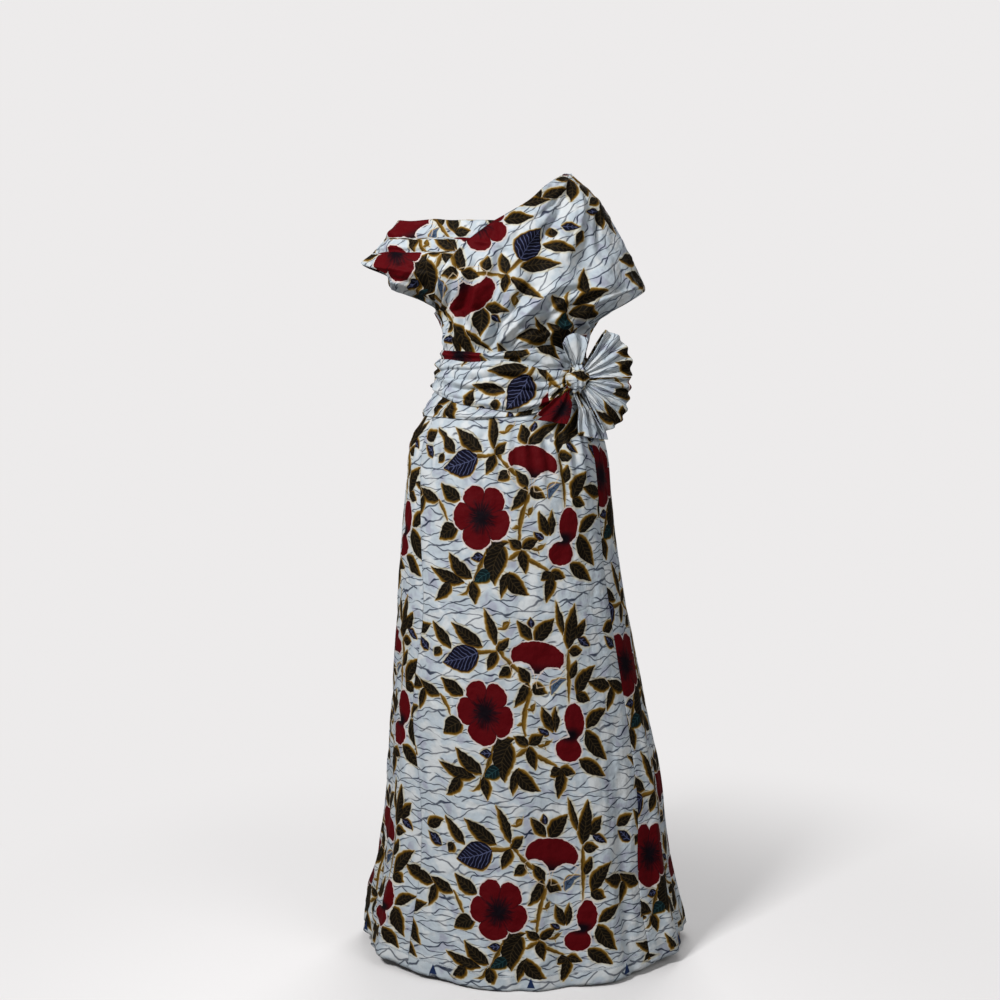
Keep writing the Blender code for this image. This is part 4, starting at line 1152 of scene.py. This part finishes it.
tailFall = {"standsOff": 0.015, "rootDepth": -0.006, "gap": 0.0013, "hemSlant": 0.010, "rootPleat": 0.3,
            "fallenAt": 0.45, "straightAt": 0.6, "printUp": 0.04, "columns": 72, "rows": 64}


def bowAxes():
    # the knot's middle, and the ways across the bow, up it and out of it
    phi, z = np.array([[math.radians(knot["angle"])]]), np.array([[knot["z"]]])
    middle = wrapCalled("sash_middle_wrap")
    top, bottom = wrapEdge(phi, middle["top"]), wrapEdge(phi, middle["bottom"])
    seat = wrapSurface(middle, phi, (z - bottom) / (top - bottom))[0, 0]
    out = ringPoint(phi, z)[1][0, 0]
    centre = seat + np.array([*out, 0.0]) * (knot["halfDepth"] + bow["gap"])
    outward = np.array([out[0] * knot["facing"], out[1], 0.0])
    outward = outward / np.linalg.norm(outward)
    return centre, np.array([-outward[1], outward[0], 0.0]), np.array([0.0, 0.0, 1.0]), outward


def knotLump(angle):
    return knot["lumps"] * np.cos(knot["lumpCount"] * angle)


def knotRadius(angle, height):
    # how far the knot reaches at an angle round its front, at a height out from its middle: a lumped oval,
    # narrower by the root of one less the height's share squared
    flat = np.hypot(np.cos(angle) / knot["halfWidth"], np.sin(angle) / knot["halfHeight"])
    outward = np.clip(height / knot["halfDepth"], -knot["nearEnd"], knot["nearEnd"])
    return (1 + knotLump(angle)) / flat * np.sqrt(1 - outward ** 2)


def inBow(side, rise, height):
    centre, across, up, outward = bowAxes()
    return centre + side[..., None] * across + rise[..., None] * up + height[..., None] * outward


def bowPlace(piece, grid, widthRow, left=0.0, up=0.0):
    # the print runs with the lengths across one row, from its left end, and the mean lengths down
    s = lengthsAlong(grid, 1)[widthRow][None, :] - left
    t = up - lengthsAlong(grid, 0).mean(axis=1)[:, None]
    return turned(s + 0 * t, t + 0 * s, piece["printTurn"], piece["tile"])


def bowLoop(loop):
    # a strip that goes out from the knot and comes back behind itself, its reach a squared sine of the
    # half turn, pleated across by a cosine
    share = np.linspace(0, 1, loop["columns"] + 1)[None, :]
    turn = np.linspace(0, math.pi, loop["rows"] + 1)[:, None]
    reach = np.sin(turn) ** 2
    angle = np.radians(loop["from"] + (loop["to"] - loop["from"]) * share)
    apart = np.cos(turn) * (bow["rootApart"] + loop["opens"] * reach ** bow["openBluntness"])
    deep = loop["deep"] * (bow["rootPleat"] + (1 - bow["rootPleat"]) * reach)
    pleat = deep * np.cos(2 * math.pi * loop["pleats"] * share)
    root = knotRadius(angle, 0.0) + bow["gap"]
    reaches = np.array(loop["reaches"])
    radius = root + (smoothOn(share, np.linspace(0, 1, len(reaches)), reaches) - root) * reach
    height = bow["lift"] + apart + pleat + math.tan(math.radians(loop["lean"])) * (radius - root)
    grid = inBow(radius * np.cos(angle), radius * np.sin(angle), height)
    place = bowPlace(loop, grid, loop["rows"] // 2)
    clothPiece(loop["name"], grid, place, "folded", offset=0.0)


def bowTail(tail):
    # a strip that leaves the knot in the bow's own plane and soon hangs close to the skirt, wider as it
    # goes, pleated across by a cosine
    share = np.linspace(-0.5, 0.5, tailFall["columns"] + 1)[None, :]
    down = np.linspace(0, 1, tailFall["rows"] + 1)[:, None]
    angle = math.radians(tail["leaves"])
    radius = knotRadius(angle, tailFall["rootDepth"]) + tailFall["gap"]
    width = share * (tail["rootWidth"] + (tail["endWidth"] - tail["rootWidth"]) * ease(0, 1, down))
    turnedBy = (angle + math.pi / 2) * (1 - ease(0, tailFall["straightAt"], down))
    side = radius * math.cos(angle) + tail["slant"] * down + width * np.cos(turnedBy)
    rise = radius * math.sin(angle) - (tail["length"] + tailFall["hemSlant"] * share) * down
    rise = rise + width * np.sin(turnedBy)
    deep = tail["deep"] * (tailFall["rootPleat"] + (1 - tailFall["rootPleat"]) * down)
    pleat = deep * np.cos(2 * math.pi * tail["pleats"] * (share + 0.5))
    forward = inBow(side, rise, pleat + tailFall["rootDepth"])
    phi = angleAt(forward[..., 0], forward[..., 2])
    hanging = onRing(phi, forward[..., 2], tailFall["standsOff"] + pleat)
    fallen = ease(0.0, tailFall["fallenAt"], down)[..., None]
    grid = forward * (1 - fallen) + hanging * fallen
    place = bowPlace(tail, grid, -1, 0.5 * tail["endWidth"], tailFall["printUp"])
    clothPiece(tail["name"], grid, place, "hung")


def bowKnot():
    # a ball pulled to the knot's sizes: columns round the way out, rows from the front to the back, with
    # a sharp ridge at each zero of a slanting sine and a round groove between
    around = np.linspace(0, 2 * math.pi, knot["columns"] + 1)[None, :]
    over = np.linspace(0, math.pi, knot["rows"] + 1)[:, None]
    x, z, y = np.sin(over) * np.cos(around), np.sin(over) * np.sin(around), np.cos(over) + 0 * around
    pleat = np.abs(np.sin(math.pi * (knot["pleats"] * x + knot["pleatTilt"] * z))) - knot["pleatLevel"]
    pleat = knot["pleatDepth"] * pleat
    fold = 1 + (knotLump(np.arctan2(z, x)) - pleat) * (1 - y ** 2)
    forward = y - pleat * np.maximum(y, 0)
    wide, high = x * knot["halfWidth"], z * knot["halfHeight"]
    place = turned(wide * knot["printSpread"], high * knot["printSpread"], 0.0, knot["tile"])
    grid = inBow(wide * fold, high * fold, forward * knot["halfDepth"])
    clothPiece("bow_knot", grid[:, :-1], place, closed=True)


for seed, panel in enumerate(skirtPanels):
    skirtPanel(panel, seed)
print("skirt made")
drapePanel(drapes[0], frontFolds, frontCreases, seed=10)
drapePanel(drapes[1], backFolds, backCreases, seed=11)
for seed, panel in enumerate(bands):
    bandPanel(panel, 20 + seed)
print("bodice made")
for seed, wrap in enumerate(wraps):
    sashWrap(wrap, 30 + seed)
bowKnot()
for loop in loops:
    bowLoop(loop)
for tail in tails:
    bowTail(tail)
print("sash and bow made")

# Studio
studio = {
    "floorZ": -1.4612, "floorRadius": 12.0, "floorSides": 128, "fade": (0.3, 1.4), "floorRoughness": 0.9,
    "backdrop": (0.845, 0.830, 0.830),
    "floor": (0.84, 0.825, 0.825),
    "floorBounce": (0.30, 0.29, 0.28),      # it throws less light back at the hem than the camera sees in it
    "ambient": 0.20,
}
softLights = rowsOf("name place aim size power", (
    ("key", (-1.5, -1.8, 1.0), (-0.1, 0.0, -0.25), 0.6, 79.0),
    ("fill", (2.0, -2.0, 0.7), (-0.1, 0.0, -0.4), 1.6, 24.0),
    ("back", (0.4, 2.4, 1.2), (-0.1, 0.0, -0.6), 2.0, 52.0),
))
view = {"lens": 49.46, "sensor": 36.0, "place": (-0.1274, -2.6, -0.3985), "downDegrees": 4.6}


def glowing(tree, kind, colour, strength=1.0):
    node = tree.nodes.new(f"ShaderNode{kind}")
    plug(colour, node.inputs["Color"])
    plug(strength, node.inputs["Strength"])
    return Wire(node.outputs[0])


def shownBy(output, share, under, over):
    # the output shows one shader, and the other over it by the share
    plug(Wire(newNode("MixShader", share, under, over).outputs[0]), output.inputs["Surface"])


def paleFloor():
    # a wide disc. Away from the dress its shading fades into the backdrop's own brightness
    mesh = bpy.data.meshes.new("pale_floor")
    sides = studio["floorSides"]
    angles = np.linspace(0, 2 * math.pi, sides + 1)[:-1]
    rim = np.stack([np.cos(angles), np.sin(angles), 0 * angles], -1) * studio["floorRadius"]
    mesh.from_pydata((rim + (0, 0, studio["floorZ"])).tolist(), [], [list(range(sides))])
    material, tree, shader = newMaterial("paleFloor")
    toCamera = source(tree, "LightPath", "Is Camera Ray")
    plug(blend(toCamera, studio["floorBounce"], studio["floor"]), shader.inputs["Base Color"])
    plug(studio["floorRoughness"], shader.inputs["Roughness"])
    far = calc("LENGTH", source(tree, "TexCoord", "Object") * (1.0, 1.0, 0.0))
    glow = glowing(tree, "Emission", studio["backdrop"])
    faded = step(far, *studio["fade"]) * toCamera
    shownBy(tree.nodes["Material Output"], faded, Wire(shader.outputs[0]), glow)
    mesh.materials.append(material)
    newObject("pale_floor", mesh)


def softLight(name, place, aim, size, power):
    light = bpy.data.lights.new(name, "AREA")
    light.size = size
    light.energy = power
    obj = newObject(name, light)
    obj.location = place
    obj.visible_camera = False
    way = np.array(aim) - np.array(place)
    flat = math.hypot(way[0], way[1])
    obj.rotation_euler = (math.atan2(flat, -way[2]), 0.0, math.atan2(way[1], way[0]) - math.pi / 2)


def backdropWorld():
    # the camera sees the backdrop, and the dress is lit by an even white
    world = bpy.data.worlds.new("studio")
    world.use_nodes = True
    tree = world.node_tree
    lit = glowing(tree, "Background", (1.0, 1.0, 1.0), studio["ambient"])
    seen = glowing(tree, "Background", studio["backdrop"])
    shownBy(tree.nodes["World Output"], source(tree, "LightPath", "Is Camera Ray"), lit, seen)
    bpy.context.scene.world = world


paleFloor()
backdropWorld()
for light in softLights:
    softLight(**light)
bpy.context.scene.view_settings.view_transform = "Standard"

camera = bpy.data.cameras.new("camera")
camera.lens = view["lens"]
camera.sensor_width = view["sensor"]
cameraObject = newObject("camera", camera)
cameraObject.location = view["place"]
cameraObject.rotation_euler = (math.radians(90 - view["downDegrees"]), 0.0, 0.0)
bpy.context.scene.camera = cameraObject
print("studio made")
